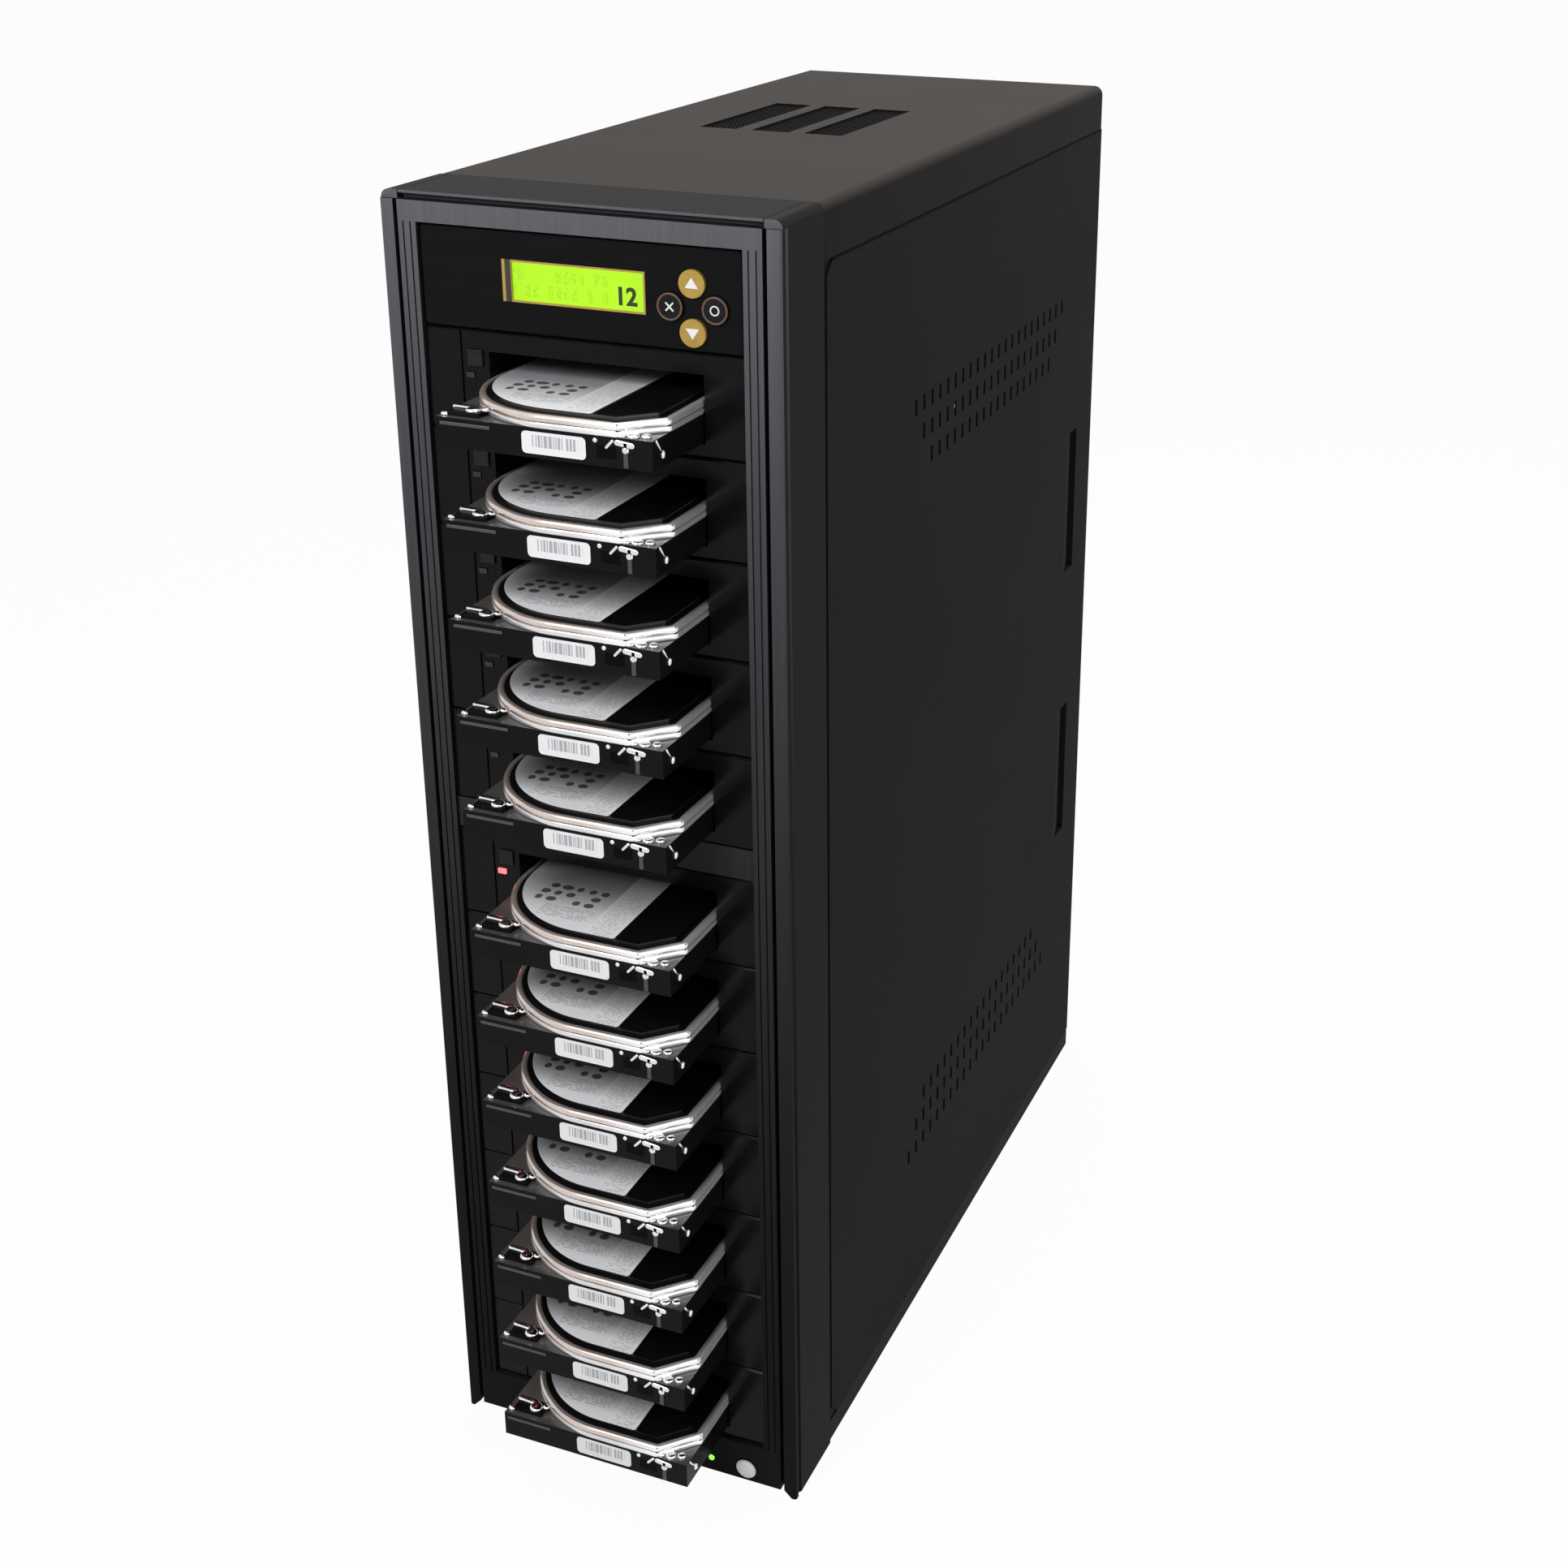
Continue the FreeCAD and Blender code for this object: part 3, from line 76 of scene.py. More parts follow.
# --- Studio floor, surround and lamps ------------------------------------------------
# A pale floor runs out to a white surround. Four soft boxes light the black case: one
# high in front, one at the right, one overhead and one behind it on the right.

class Signal:
    """A value in a node tree. Arithmetic on it adds Math nodes to the tree."""

    def __init__(self, finish, socket):
        self.finish = finish
        self.socket = socket

    def math(self, operation, *values):
        return self.finish.node("Math", {"operation": operation}, dict(enumerate(values)))

    def __add__(self, other):
        return self.math("ADD", self, other)

    def __sub__(self, other):
        return self.math("SUBTRACT", self, other)

    def __rsub__(self, other):
        return self.math("SUBTRACT", other, self)

    def __mul__(self, other):
        return self.math("MULTIPLY", self, other)

    def __truediv__(self, other):
        return self.math("DIVIDE", self, other)

    def __gt__(self, other):
        return self.math("GREATER_THAN", self, other)

    def __lt__(self, other):
        return self.math("LESS_THAN", self, other)

    __radd__ = __add__
    __rmul__ = __mul__

    def floor(self):
        return self.math("FLOOR", self)

    def part(self):
        """What is left of the value above the whole number under it."""
        return self.math("FRACT", self)

    def size(self):
        return self.math("ABSOLUTE", self)

    def power(self, exponent):
        return self.math("POWER", self, exponent)

    def clamped(self):
        return self.math("MINIMUM", self.math("MAXIMUM", self, 0.0), 1.0)


class Tree:
    """A node tree while its nodes are added and linked."""

    def __init__(self, tree):
        self.tree = tree

    def feed(self, socket, value):
        if isinstance(value, Signal):
            self.tree.links.new(value.socket, socket)
        elif socket.type == "RGBA" and len(value) == 3:
            socket.default_value = (*value, 1.0)
        else:
            socket.default_value = value

    def node(self, kind, settings, sockets, output=0):
        """Add a node: its settings first, then the values or links of its sockets."""
        made = self.tree.nodes.new("ShaderNode" + kind)
        for setting, value in settings.items():
            setattr(made, setting, value)
        for key, value in sockets.items():
            self.feed(made.inputs[key], value)
        return Signal(self, made.outputs[output])

    def tint(self, share, first, second):
        """The colour between two colours: share 0 gives the first and 1 the second."""
        return self.node("Mix", {"data_type": "RGBA"}, {0: share, 6: first, 7: second}, 2)

    def axes(self, vector):
        return [self.node("SeparateXYZ", {}, {0: vector}, axis) for axis in range(3)]

    def noise(self, vector, scale, detail=2.0, roughness=0.5):
        return self.node("TexNoise", {}, {"Vector": vector, "Scale": scale, "Detail": detail,
                                          "Roughness": roughness})

    def chance(self, vector):
        """A random value from 0 to 1 for each whole-number place."""
        return self.node("TexWhiteNoise", {}, {"Vector": vector})

    def vector(self, x, y, z=0.0):
        return self.node("CombineXYZ", {}, {0: x, 1: y, 2: z})

    def rays(self, *kinds):
        """1 for each kind of ray that is being followed, and 0 for the others."""
        return [self.node("LightPath", {}, {}, kind) for kind in kinds]


class Finish(Tree):
    """A surface finish: a new material, with what is the same all over set on its shader."""

    def __init__(self, name, **constants):
        self.material = bpy.data.materials.new(name)
        self.material.use_nodes = True
        super().__init__(self.material.node_tree)
        self.shader = self.tree.nodes["Principled BSDF"]
        self.paint(**constants)

    def paint(self, **values):
        for socket, value in values.items():
            self.feed(self.shader.inputs[socket.replace("_", " ")], value)
        return self.material

    def place(self):
        """Place on the piece, in metres."""
        return self.node("TexCoord", {}, {}, "Object")

    def bump(self, height, distance, strength=1.0):
        """Surface normal of a relief whose height runs from 0 to 1 over the distance in metres."""
        return self.node("Bump", {}, {"Height": height, "Distance": distance, "Strength": strength})

    def facing(self):
        """The three parts of the surface's own normal."""
        return self.axes(self.node("NewGeometry", {}, {}, "Normal"))


def white_surround():
    """Even grey light on the object, and plain white where it is seen or mirrored."""
    world = bpy.data.worlds.new("surround")
    world.use_nodes = True
    bpy.context.scene.world = world
    sky = Tree(world.node_tree)
    camera_ray, glossy_ray, clear_ray = sky.rays("Is Camera Ray", "Is Glossy Ray", "Is Transmission Ray")
    seen = (camera_ray + glossy_ray + clear_ray).clamped()
    background = world.node_tree.nodes["Background"]
    light_level, whitening = 0.32, 0.68
    sky.feed(background.inputs["Color"], (1.0, 1.0, 1.0))
    sky.feed(background.inputs["Strength"], light_level + seen * whitening)


def pale_floor():
    """Matt white floor that keeps the object's shadow, whitened where the camera sees it."""
    reach, whitening = 40.0, 0.96
    mesh = bpy.data.meshes.new("floor")
    corners = [(-reach, -reach, 0), (reach, -reach, 0), (reach, reach, 0), (-reach, reach, 0)]
    mesh.from_pydata(corners, [], [(0, 1, 2, 3)])
    floor = bpy.data.objects.new("floor", mesh)
    bpy.context.scene.collection.objects.link(floor)
    paper = Finish("floor_paper", Roughness=0.9, Specular_IOR_Level=0.1)
    mottle = paper.noise(paper.place(), 3.0)
    camera_ray, glossy_ray, clear_ray = paper.rays("Is Camera Ray", "Is Glossy Ray", "Is Transmission Ray")
    paper.paint(Base_Color=paper.tint(mottle, (0.86, 0.86, 0.86), (0.9, 0.9, 0.9)))
    glow = paper.node("Emission", {}, {"Color": (1.0, 1.0, 1.0), "Strength": 1.0})
    seen = (camera_ray + glossy_ray + clear_ray).clamped() * whitening
    out = paper.node("MixShader", {}, {0: seen, 1: Signal(paper, paper.shader.outputs[0]), 2: glow})
    paper.tree.links.new(out.socket, paper.tree.nodes["Material Output"].inputs["Surface"])
    mesh.materials.append(paper.material)


def soft_box(name, place, target, width, power):
    """Square area lamp turned to face the target."""
    light = bpy.data.lights.new(name, "AREA")
    light.size = width
    light.energy = power
    lamp = bpy.data.objects.new(name, light)
    lamp.location = place
    lamp.rotation_euler = (Vector(target) - Vector(place)).to_track_quat("-Z", "Y").to_euler()
    bpy.context.scene.collection.objects.link(lamp)


white_surround()
pale_floor()
soft_box("front_box", (-0.25, -1.15, 1.35), (0.0, -0.1, 0.5), 0.7, 14.0)
soft_box("right_box", (1.5, -0.9, 0.9), (0.0, -0.1, 0.3), 0.8, 5.0)
soft_box("overhead_box", (0.1, 0.5, 1.7), (0.0, 0.1, 0.6), 0.9, 9.0)
soft_box("back_box", (1.0, 1.45, 1.2), (0.05, 0.2, 0.35), 0.8, 7.0)


# --- Steel case ----------------------------------------------------------------------
# Folded sheet steel: a floor pan, a wrap-over cover, two side panels and the back, all in
# fine-grained black powder coat with a soft orange-peel skin. The cover's coat is a warm
# black, the panels' is the darkest, and that of the pan and the back lies between. The
# cover's faces that look up are painted paler than its flanks, as painted light from above,
# and the panels' top edge gets a painted shadow under the cover's fold.

def powder_coat(name, colour, roughness, specular=0.02, painted_flank_level=1.0, seam=None):
    """Fine-grained coat with settled dust. Painted light: faces that look up are painted paler
    than its flanks, and a panel's top edge, above the seam's height, gets a painted shadow
    of the cover's fold."""
    coat = Finish(name, Specular_IOR_Level=specular)
    place = coat.place()
    grain = coat.noise(place, 1500.0, 1.0)
    peel = coat.noise(place, 260.0, 2.0)
    wear = coat.noise(place, 14.0, 4.0, 0.6)
    dust = coat.noise(place, 55.0, 5.0, 0.7)
    light, dark = [tuple(part * share for part in colour) for share in (1.25, 0.8)]
    shade = coat.tint(grain * 0.5 + wear * 0.35 + dust * 0.15, dark, light)
    # Painted light: up-facing faces keep the full colour, and the flanks are painted down to
    # painted_flank_level of it.
    upward = ((coat.facing()[2] - 0.3) / 0.5).clamped() * (1.0 - painted_flank_level) + painted_flank_level
    if seam is not None:
        # Painted shadow: above the seam's height the colour drops to a twentieth, the shade under the
        # cover's fold.
        upward = upward * ((coat.axes(place)[2] < seam) * 0.95 + 0.05)
    return coat.paint(
        Base_Color=coat.node("VectorMath", {"operation": "SCALE"}, {0: shade, "Scale": upward}),
        Roughness=roughness + (wear - 0.5) * 0.12 + (grain - 0.5) * 0.1,
        Normal=coat.bump(grain * 0.6 + peel * 0.4, 0.00006))


def repaint(finish, *names):
    """Give CAD nodes a finish in place of the plain colour that they were packed with."""
    for name in names:
        nodes[name].data.materials.clear()
        nodes[name].data.materials.append(finish)


# Painted light: the cover's flanks are painted at a quarter of its top's brightness, as light from above.
repaint(powder_coat("cover_coat", (0.039, 0.0345, 0.032), 0.55, 0.02, 0.25), "top_cover")
# Painted shadow: the side panels' top 1.2 mm is painted near black, under the cover's fold.
shadow_line = 0.0012
side_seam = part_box("side_panel_right")[1].z - shadow_line
repaint(powder_coat("side_coat", (0.012, 0.012, 0.0125), 0.7, 0.025, seam=side_seam),
        "side_panel_left", "side_panel_right")
repaint(powder_coat("pan_coat", (0.022, 0.022, 0.023), 0.65), "bottom_pan", "rear_panel")


# --- Top vents -------------------------------------------------------------------------
# Three black steel screens under the cover's windows, punched with fine hexagonal holes.
# Each hole's cell is a hexagon with a smaller one cut out of it.

MM = 0.001


def grid_faces(rows, columns, round_rows=False, round_columns=True):
    """Quads between neighbouring points of a grid, which may close on itself either way."""
    row, column = np.meshgrid(np.arange(rows - (not round_rows)), np.arange(columns - (not round_columns)),
                              indexing="ij")
    below, beside = (row + 1) % rows, (column + 1) % columns
    corners = [(row, column), (row, beside), (below, beside), (below, column)]
    return np.stack([up * columns + along for up, along in corners], axis=-1).reshape(-1, 4).tolist()


def make_piece(name, points, faces, finish, body, slot, smooth=False):
    """A new piece from points in millimetres, which rides on a body; its slot argument is not used."""
    mesh = bpy.data.meshes.new(name)
    mesh.from_pydata((np.asarray(points, float).reshape(-1, 3) * MM).tolist(), [], faces)
    mesh.polygons.foreach_set("use_smooth", np.full(len(mesh.polygons), smooth))
    mesh.materials.append(finish)
    piece = bpy.data.objects.new(name, mesh)
    bpy.context.scene.collection.objects.link(piece)
    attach(piece, body)
    return piece


def circle(radius, count, middle=(0.0, 0.0), first=0.0):
    """Points round a circle at even angles, anticlockwise."""
    angle = first + np.arange(count) * 2 * np.pi / count
    return np.stack([middle[0] + radius * np.cos(angle), middle[1] + radius * np.sin(angle)], axis=-1)


def perforated_screens():
    """Hexagon cells in rows: each is two rings of six points on both faces of the sheet."""
    low, high = (np.array(corner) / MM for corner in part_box("vent_screens"))
    middle, reach = (low + high) / 2, (high - low) / 2
    pitch, hole, thick = 2.3, 0.82, 0.6
    opening, spacing, end_margin = 12.0, 29.0, 1.5
    rise = pitch * math.sqrt(3) / 2
    rows, columns = int(2 * (reach[1] - end_margin) / rise), int(2 * opening / pitch)
    row, column, screen = np.meshgrid(np.arange(rows), np.arange(columns), np.arange(3), indexing="ij")
    x = middle[0] + (screen - 1) * spacing + (column - (columns - 1) / 2 + 0.5 * (row % 2) - 0.25) * pitch
    y = middle[1] + (row - (rows - 1) / 2) * rise
    cell = np.concatenate([circle(radius, 6, first=math.pi / 6) for radius in (pitch / math.sqrt(3), hole)])
    loops = [(0, high[2]), (6, high[2]), (6, high[2] - thick), (0, high[2] - thick)]
    points = np.zeros((x.size, len(loops), 6, 3))
    for ring, (start, height) in enumerate(loops):
        points[:, ring, :, 0] = x.reshape(-1, 1) + cell[start:start + 6, 0]
        points[:, ring, :, 1] = y.reshape(-1, 1) + cell[start:start + 6, 1]
        points[:, ring, :, 2] = height
    quads = np.array(grid_faces(len(loops), 6, round_rows=True))
    faces = (quads[None] + (np.arange(x.size) * len(loops) * 6)[:, None, None]).reshape(-1, 4).tolist()
    coat = powder_coat("mesh_coat", (0.009, 0.009, 0.009), 0.6, 0.004)
    piece = make_piece("vent_mesh", points, faces, coat, "case", "vent_mesh")
    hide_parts("vent_screens")


perforated_screens()


# --- Bezel -------------------------------------------------------------------------------
# Two moulded corner columns and the frame between them, in ABS sprayed a dark metallic
# grey. Painted shade: the front faces are painted darker towards the foot, and the faces
# that don't look to the front are painted dark, for the fall-off of the light from above.

def metallic_spray(name, painted_lit_colour, painted_shade_colour):
    """Flaked spray, drawn out in upright streaks, painted from a lit colour at the top down to a shaded
    one.
    """
    spray = Finish(name, Specular_IOR_Level=0.01)
    place = spray.place()
    z = spray.axes(place)[2]
    height = (z / cad_box[1].z).clamped()
    front = (spray.facing()[1].size() > 0.5) * 1.0
    flake = spray.noise(place, 3200.0, 0.0)
    drawn_out = spray.node("Mapping", {}, {"Vector": place, "Scale": (420.0, 420.0, 6.0)})
    streak = spray.noise(drawn_out, 1.0, 3.0)
    # Painted shade: front faces go from the shaded colour at the foot to the lit colour at the top; other
    # faces stay near the shaded colour.
    colour = spray.tint(height.power(2.6) * (0.05 + front * 0.95), painted_shade_colour, painted_lit_colour)
    shade = 0.7 + flake * 0.25 + streak * 0.35
    lit = spray.node("VectorMath", {"operation": "SCALE"}, {0: colour, "Scale": shade})
    return spray.paint(Base_Color=lit, Roughness=0.46 + (flake - 0.5) * 0.16 + (streak - 0.5) * 0.1,
                       Normal=spray.bump(flake * 0.5 + streak * 0.5, 0.00003))


repaint(metallic_spray("bezel_spray", (0.105, 0.105, 0.117), (0.011, 0.011, 0.0115)),
        "bezel_frame", "bezel_columns")


# --- Control panel -----------------------------------------------------------------------
# A piano-black blanking panel with a lit character display in a gold surround, and four
# round keys in a diamond: gold arrows above and below, black ringed keys left and right.

def gloss_black(name, colour=(0.006, 0.006, 0.007), roughness=0.16, specular=0.07):
    """Moulded gloss black, with faint wiping marks and a slight ripple."""
    gloss = Finish(name, Specular_IOR_Level=specular)
    place = gloss.place()
    wipe = gloss.noise(gloss.node("Mapping", {}, {"Vector": place, "Scale": (30.0, 30.0, 260.0)}), 1.0, 4.0)
    smear = gloss.noise(place, 22.0, 3.0)
    ripple = gloss.noise(place, 120.0, 1.0)
    pale = tuple(part * 1.9 for part in colour)
    return gloss.paint(Base_Color=gloss.tint(wipe, colour, pale),
                       Roughness=roughness + (wipe - 0.5) * 0.1 + (smear - 0.5) * 0.08,
                       Normal=gloss.bump(ripple * 0.7 + wipe * 0.3, 0.00004))


def gold_paint(name):
    """Gold-coloured spray with fine flakes."""
    gold = Finish(name, Metallic=0.55, Specular_IOR_Level=0.5)
    place = gold.place()
    flake = gold.noise(place, 2600.0, 1.0)
    cloud = gold.noise(place, 240.0, 3.0)
    colour = gold.tint(flake * 0.7 + cloud * 0.3, (0.22, 0.13, 0.022), (0.62, 0.42, 0.10))
    return gold.paint(Base_Color=colour, Roughness=0.34 + flake * 0.15, Normal=gold.bump(flake, 0.00004))


def lit_display():
    """Yellow-green backlight with faint unlit character cells; green laminate behind it."""
    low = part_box("screen_module")[0]
    screen = Finish("display_light", Specular_IOR_Level=0.3, Emission_Strength=1.0, Roughness=0.3)
    x, y, z = screen.axes(screen.place())
    front = (y < low.y + 0.0012) * 1.0
    cell_width, cell_height, dot_width, dot_height = 3.7 * MM, 7.2 * MM, 0.62 * MM, 0.78 * MM
    numerals_from, half_width = 14.0 * MM, 32.0 * MM
    across, up = x / cell_width, (z - DISPLAY_FOOT) / cell_height
    in_cell = ((across.part() - 0.42).size() < 0.36) * ((up.part() - 0.5).size() < 0.38)
    dot = screen.chance(screen.vector((x / dot_width).floor(), (z / dot_height).floor())) > 0.5
    word = screen.chance(screen.vector(across.floor(), up.floor(), 4.0)) > 0.3
    ghost = in_cell * dot * word * (x < numerals_from)
    vignette = ((x / half_width).size().power(4.0)) * 0.16
    glow = screen.tint(ghost * 0.34 + vignette, (0.50, 0.95, 0.012), (0.20, 0.55, 0.01))
    board = screen.tint(screen.noise(screen.place(), 1500.0), (0.01, 0.09, 0.03), (0.03, 0.17, 0.06))
    return screen.paint(Base_Color=screen.tint(front, board, (0.01, 0.02, 0.0)),
                        Emission_Color=screen.tint(front, (0.0, 0.0, 0.0), glow))


def striped_gold():
    """The surround's gold, with the grey printed stripes of its wide left band."""
    gold = Finish("surround_gold", Metallic=0.4, Roughness=0.36)
    place = gold.place()
    x = gold.axes(place)[0] / MM
    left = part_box("screen_surround")[0].x / MM
    band_from, band_to, stripe_pitch = 1.5, 4.3, 0.9
    band = (x < left + band_to) * (x > left + band_from)
    stripe = (((x - left) / stripe_pitch).part() < 0.55) * band
    flake = gold.noise(place, 2600.0, 1.0)
    base = gold.tint(flake, (0.26, 0.16, 0.03), (0.56, 0.38, 0.10))
    ground = gold.tint(band, base, (0.012, 0.012, 0.01))
    return gold.paint(Base_Color=gold.tint(stripe, ground, (0.06, 0.06, 0.045)),
                      Normal=gold.bump(flake, 0.00003))


def plain_enamel(name, colour, roughness=0.4):
    """Printed or moulded colour with a light mottle."""
    enamel = Finish(name, Specular_IOR_Level=0.4)
    mottle = enamel.noise(enamel.place(), 900.0, 2.0)
    dark = tuple(part * 0.85 for part in colour)
    return enamel.paint(Base_Color=enamel.tint(mottle, dark, colour),
                        Roughness=roughness + (mottle - 0.5) * 0.1)


def inset(outline, distance):
    """Outline moved inwards: each corner goes along the bisector of its two edges."""
    before = outline - np.roll(outline, 1, axis=0)
    after = np.roll(outline, -1, axis=0) - outline
    normals = []
    for edge in (before, after):
        unit = edge / np.linalg.norm(edge, axis=1, keepdims=True)
        normals.append(np.stack([-unit[:, 1], unit[:, 0]], axis=-1))
    bisector = normals[0] + normals[1]
    bisector /= np.linalg.norm(bisector, axis=1, keepdims=True)
    return outline + bisector * (distance / (bisector * normals[0]).sum(axis=1, keepdims=True))


def plate_points(outline, profile):
    """The outline once per (inset, height) of the profile, so that its edge is rounded."""
    outline = np.asarray(outline, float)
    return np.array([np.column_stack([inset(outline, step), np.full(len(outline), height)])
                     for step, height in profile])


def plate_shape(outline, profile, place):
    """Points and faces of a solid plate: the rings of its profile joined by quads, with
    both ends closed. place turns (across, up, out) into the object's own directions."""
    rings = plate_points(outline, profile)
    rows, columns = rings.shape[:2]
    faces = grid_faces(rows, columns)
    faces.append(list(range(columns))[::-1])
    faces.append(list(range((rows - 1) * columns, rows * columns)))
    return place(rings.reshape(-1, 3)), faces


def plate(name, outline, profile, place, finish, body, slot, smooth=False):
    return make_piece(name, *plate_shape(outline, profile, place), finish, body, slot, smooth)


def bundle(name, shapes, finish, body, slot, smooth=False):
    """Several small shapes of one material as one piece."""
    points, faces, count = [], [], 0
    for shape_points, shape_faces in shapes:
        points.append(shape_points)
        faces += [[corner + count for corner in face] for face in shape_faces]
        count += len(shape_points)
    return make_piece(name, np.concatenate(points), faces, finish, body, slot, smooth)


def front_place(x, y, z):
    """Places a plate on a face that looks to the front: it stands out towards -Y."""
    return lambda p: np.column_stack([x + p[:, 0], y - p[:, 2], z + p[:, 1]])


def band(name, outline, loop, place, finish, body, slot):
    """Closed ring: an (inset, height) loop carried round an outline."""
    rings = plate_points(outline, loop)
    faces = grid_faces(len(loop), len(outline), round_rows=True)
    return make_piece(name, place(rings.reshape(-1, 3)), faces, finish, body, slot, True)


def numerals(name, text, height, place, finish, body):
    """Plain numerals cut from the built-in font, upright on a plane that faces the front."""
    share_of_size, thickness, boldness = 0.7, 0.06, 0.34
    curve = bpy.data.curves.new(name + "_curve", "FONT")
    curve.body = text
    curve.size = height / share_of_size * MM
    curve.extrude = thickness * MM
    curve.offset = boldness * MM
    curve.align_x = "CENTER"
    curve.resolution_u = 4
    holder = bpy.data.objects.new(name + "_holder", curve)
    bpy.context.scene.collection.objects.link(holder)
    bpy.context.view_layer.update()
    mesh = bpy.data.meshes.new_from_object(holder.evaluated_get(bpy.context.evaluated_depsgraph_get()))
    bpy.data.objects.remove(holder)
    flat = np.zeros(len(mesh.vertices) * 3)
    mesh.vertices.foreach_get("co", flat)
    flat = flat.reshape(-1, 3) / MM
    mesh.vertices.foreach_set("co", (place(flat) * MM).ravel())
    mesh.materials.clear()
    mesh.materials.append(finish)
    piece = bpy.data.objects.new(name, mesh)
    bpy.context.scene.collection.objects.link(piece)
    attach(piece, body)


def middle_of(node):
    low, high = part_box(node)
    return np.array((low + high) / 2) / MM


def front_of(node):
    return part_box(node)[0].y / MM


surround_low, surround_high = (np.array(corner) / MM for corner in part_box("screen_surround"))
DISPLAY_FOOT = (surround_low[2] + 1.6) * MM
panel_gloss = gloss_black("panel_gloss", (0.004, 0.004, 0.0045), 0.2, 0.045)
repaint(panel_gloss, "control_panel")
repaint(lit_display(), "screen_module")
repaint(striped_gold(), "screen_surround")
key_gold = gold_paint("key_gold")
key_black = gloss_black("key_black", (0.008, 0.008, 0.009), 0.2)
repaint(key_gold, "key_up", "key_down")
repaint(key_black, "key_back", "key_enter")

ink = plain_enamel("display_ink", (0.015, 0.03, 0.01), 0.5)
window_depth, ink_proud = 0.9, 0.07
display_face = front_of("screen_surround") + window_depth
numerals("display_numerals", "12", 7.4,
         front_place(surround_high[0] - 9.4, display_face - ink_proud, surround_low[2] + 3.2),
         ink, "case")

enamel_white = plain_enamel("key_white", (0.82, 0.82, 0.8), 0.35)
key_edge = [(0.0, -0.05), (0.0, 0.18), (0.12, 0.25)]
for key, turn in (("key_up", 1), ("key_down", -1)):
    x, _, z = middle_of(key)
    triangle = turn * np.array([(-3.1, -1.9), (3.1, -1.9), (0.0, 2.7)])
    plate(key + "_arrow", triangle, key_edge, front_place(x, front_of(key), z), enamel_white,
          key, "key_gold")

bronze = plain_enamel("key_bronze", (0.12, 0.062, 0.032), 0.35)
ring_loop = [(0.0, -0.05), (0.0, 0.12), (0.15, 0.22), (0.75, 0.22), (0.9, 0.12), (0.9, -0.05)]
for key in ("key_back", "key_enter"):
    x, _, z = middle_of(key)
    band(key + "_ring", circle(5.95, 48), ring_loop, front_place(x, front_of(key), z), bronze,
         key, "key_black")
x, _, z = middle_of("key_enter")
band("key_enter_sign", circle(2.2, 32), [(0.0, -0.05), (0.0, 0.2), (0.6, 0.2), (0.6, -0.05)],
     front_place(x, front_of("key_enter"), z), enamel_white, "key_enter", "key_black")
x, _, z = middle_of("key_back")
arm, half_stroke = 2.5, 0.34
for bar, turn in enumerate((45, -45)):
    along = np.array([math.cos(math.radians(turn)), math.sin(math.radians(turn))])
    across = np.array([-along[1], along[0]])
    corners = [-arm * along - half_stroke * across, arm * along - half_stroke * across,
               arm * along + half_stroke * across, -arm * along + half_stroke * across]
    plate(f"key_back_sign_{bar + 1}", corners, [(0.0, -0.05), (0.0, 0.2 + 0.02 * bar)],
          front_place(x, front_of("key_back"), z), enamel_white, "key_back", "key_black")


# --- Bays --------------------------------------------------------------------------------
# Each bay is a gloss black moulded plate with a window, a square power button and a small
# light pipe. The lit bays' pipes glow red; a circuit board closes the back of each rack.

def light_pipes():
    """Clear red pipes; those of the lower seven bays are lit."""
    pipe = Finish("indicator_glow", Emission_Strength=6.0, Roughness=0.2)
    place = pipe.place()
    z = pipe.axes(place)[2]
    lit = (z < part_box("bay_button_06")[1].z) * 1.0
    core = pipe.noise(place, 700.0)
    glow = pipe.tint(core, (0.85, 0.02, 0.03), (1.0, 0.08, 0.09))
    return pipe.paint(Base_Color=pipe.tint(core, (0.005, 0.0006, 0.0006), (0.012, 0.001, 0.001)),
                      Emission_Color=pipe.tint(lit, (0.0, 0.0, 0.0), glow))


def laminate(name):
    """Green circuit board with tracks in straight runs and tinned pads."""
    board = Finish(name, Roughness=0.45)
    place = board.place()
    cells = board.node("TexBrick", {"offset": 0.5}, {"Vector": board.node("Mapping", {}, {
        "Vector": place, "Rotation": (0.0, math.pi / 2, 0.0), "Scale": (300.0, 300.0, 300.0)}),
        "Mortar Size": 0.06}, "Fac")
    pads = board.noise(place, 420.0, 0.0) > 0.68
    green = board.tint(cells, (0.008, 0.07, 0.025), (0.02, 0.15, 0.05))
    return board.paint(Base_Color=board.tint(pads, green, (0.45, 0.43, 0.38)), Metallic=pads * 0.8)


rack_gloss = gloss_black("rack_gloss", (0.003, 0.003, 0.0035), 0.2, 0.09)
repaint(rack_gloss, "bay_racks_upper", "bay_racks_lower")
repaint(gloss_black("button_gloss", (0.012, 0.012, 0.013), 0.22),
        *[f"bay_button_{bay:02d}" for bay in range(1, 13)])
repaint(light_pipes(), "bay_indicators")
repaint(laminate("board_laminate"), "backplanes", "controller_board")


# --- Disks -------------------------------------------------------------------------------
# Twelve bare 3.5-inch disks: a black-coated casting, a polished rim that follows the
# platters, a stepped dark cover, a printed label and a bar-code sticker on the front.

DRIVES = [f"hard_drive_{bay:02d}" for bay in range(1, 13)]
LOWER_BAYS = 7
WIDE, LONG, SHELF, COVER = 101.6, 147.0, 13.0, 20.2
PLATTERS, PLATTER_RADIUS, LABEL_RADIUS = (50.0, 50.0), 50.0, 44.8


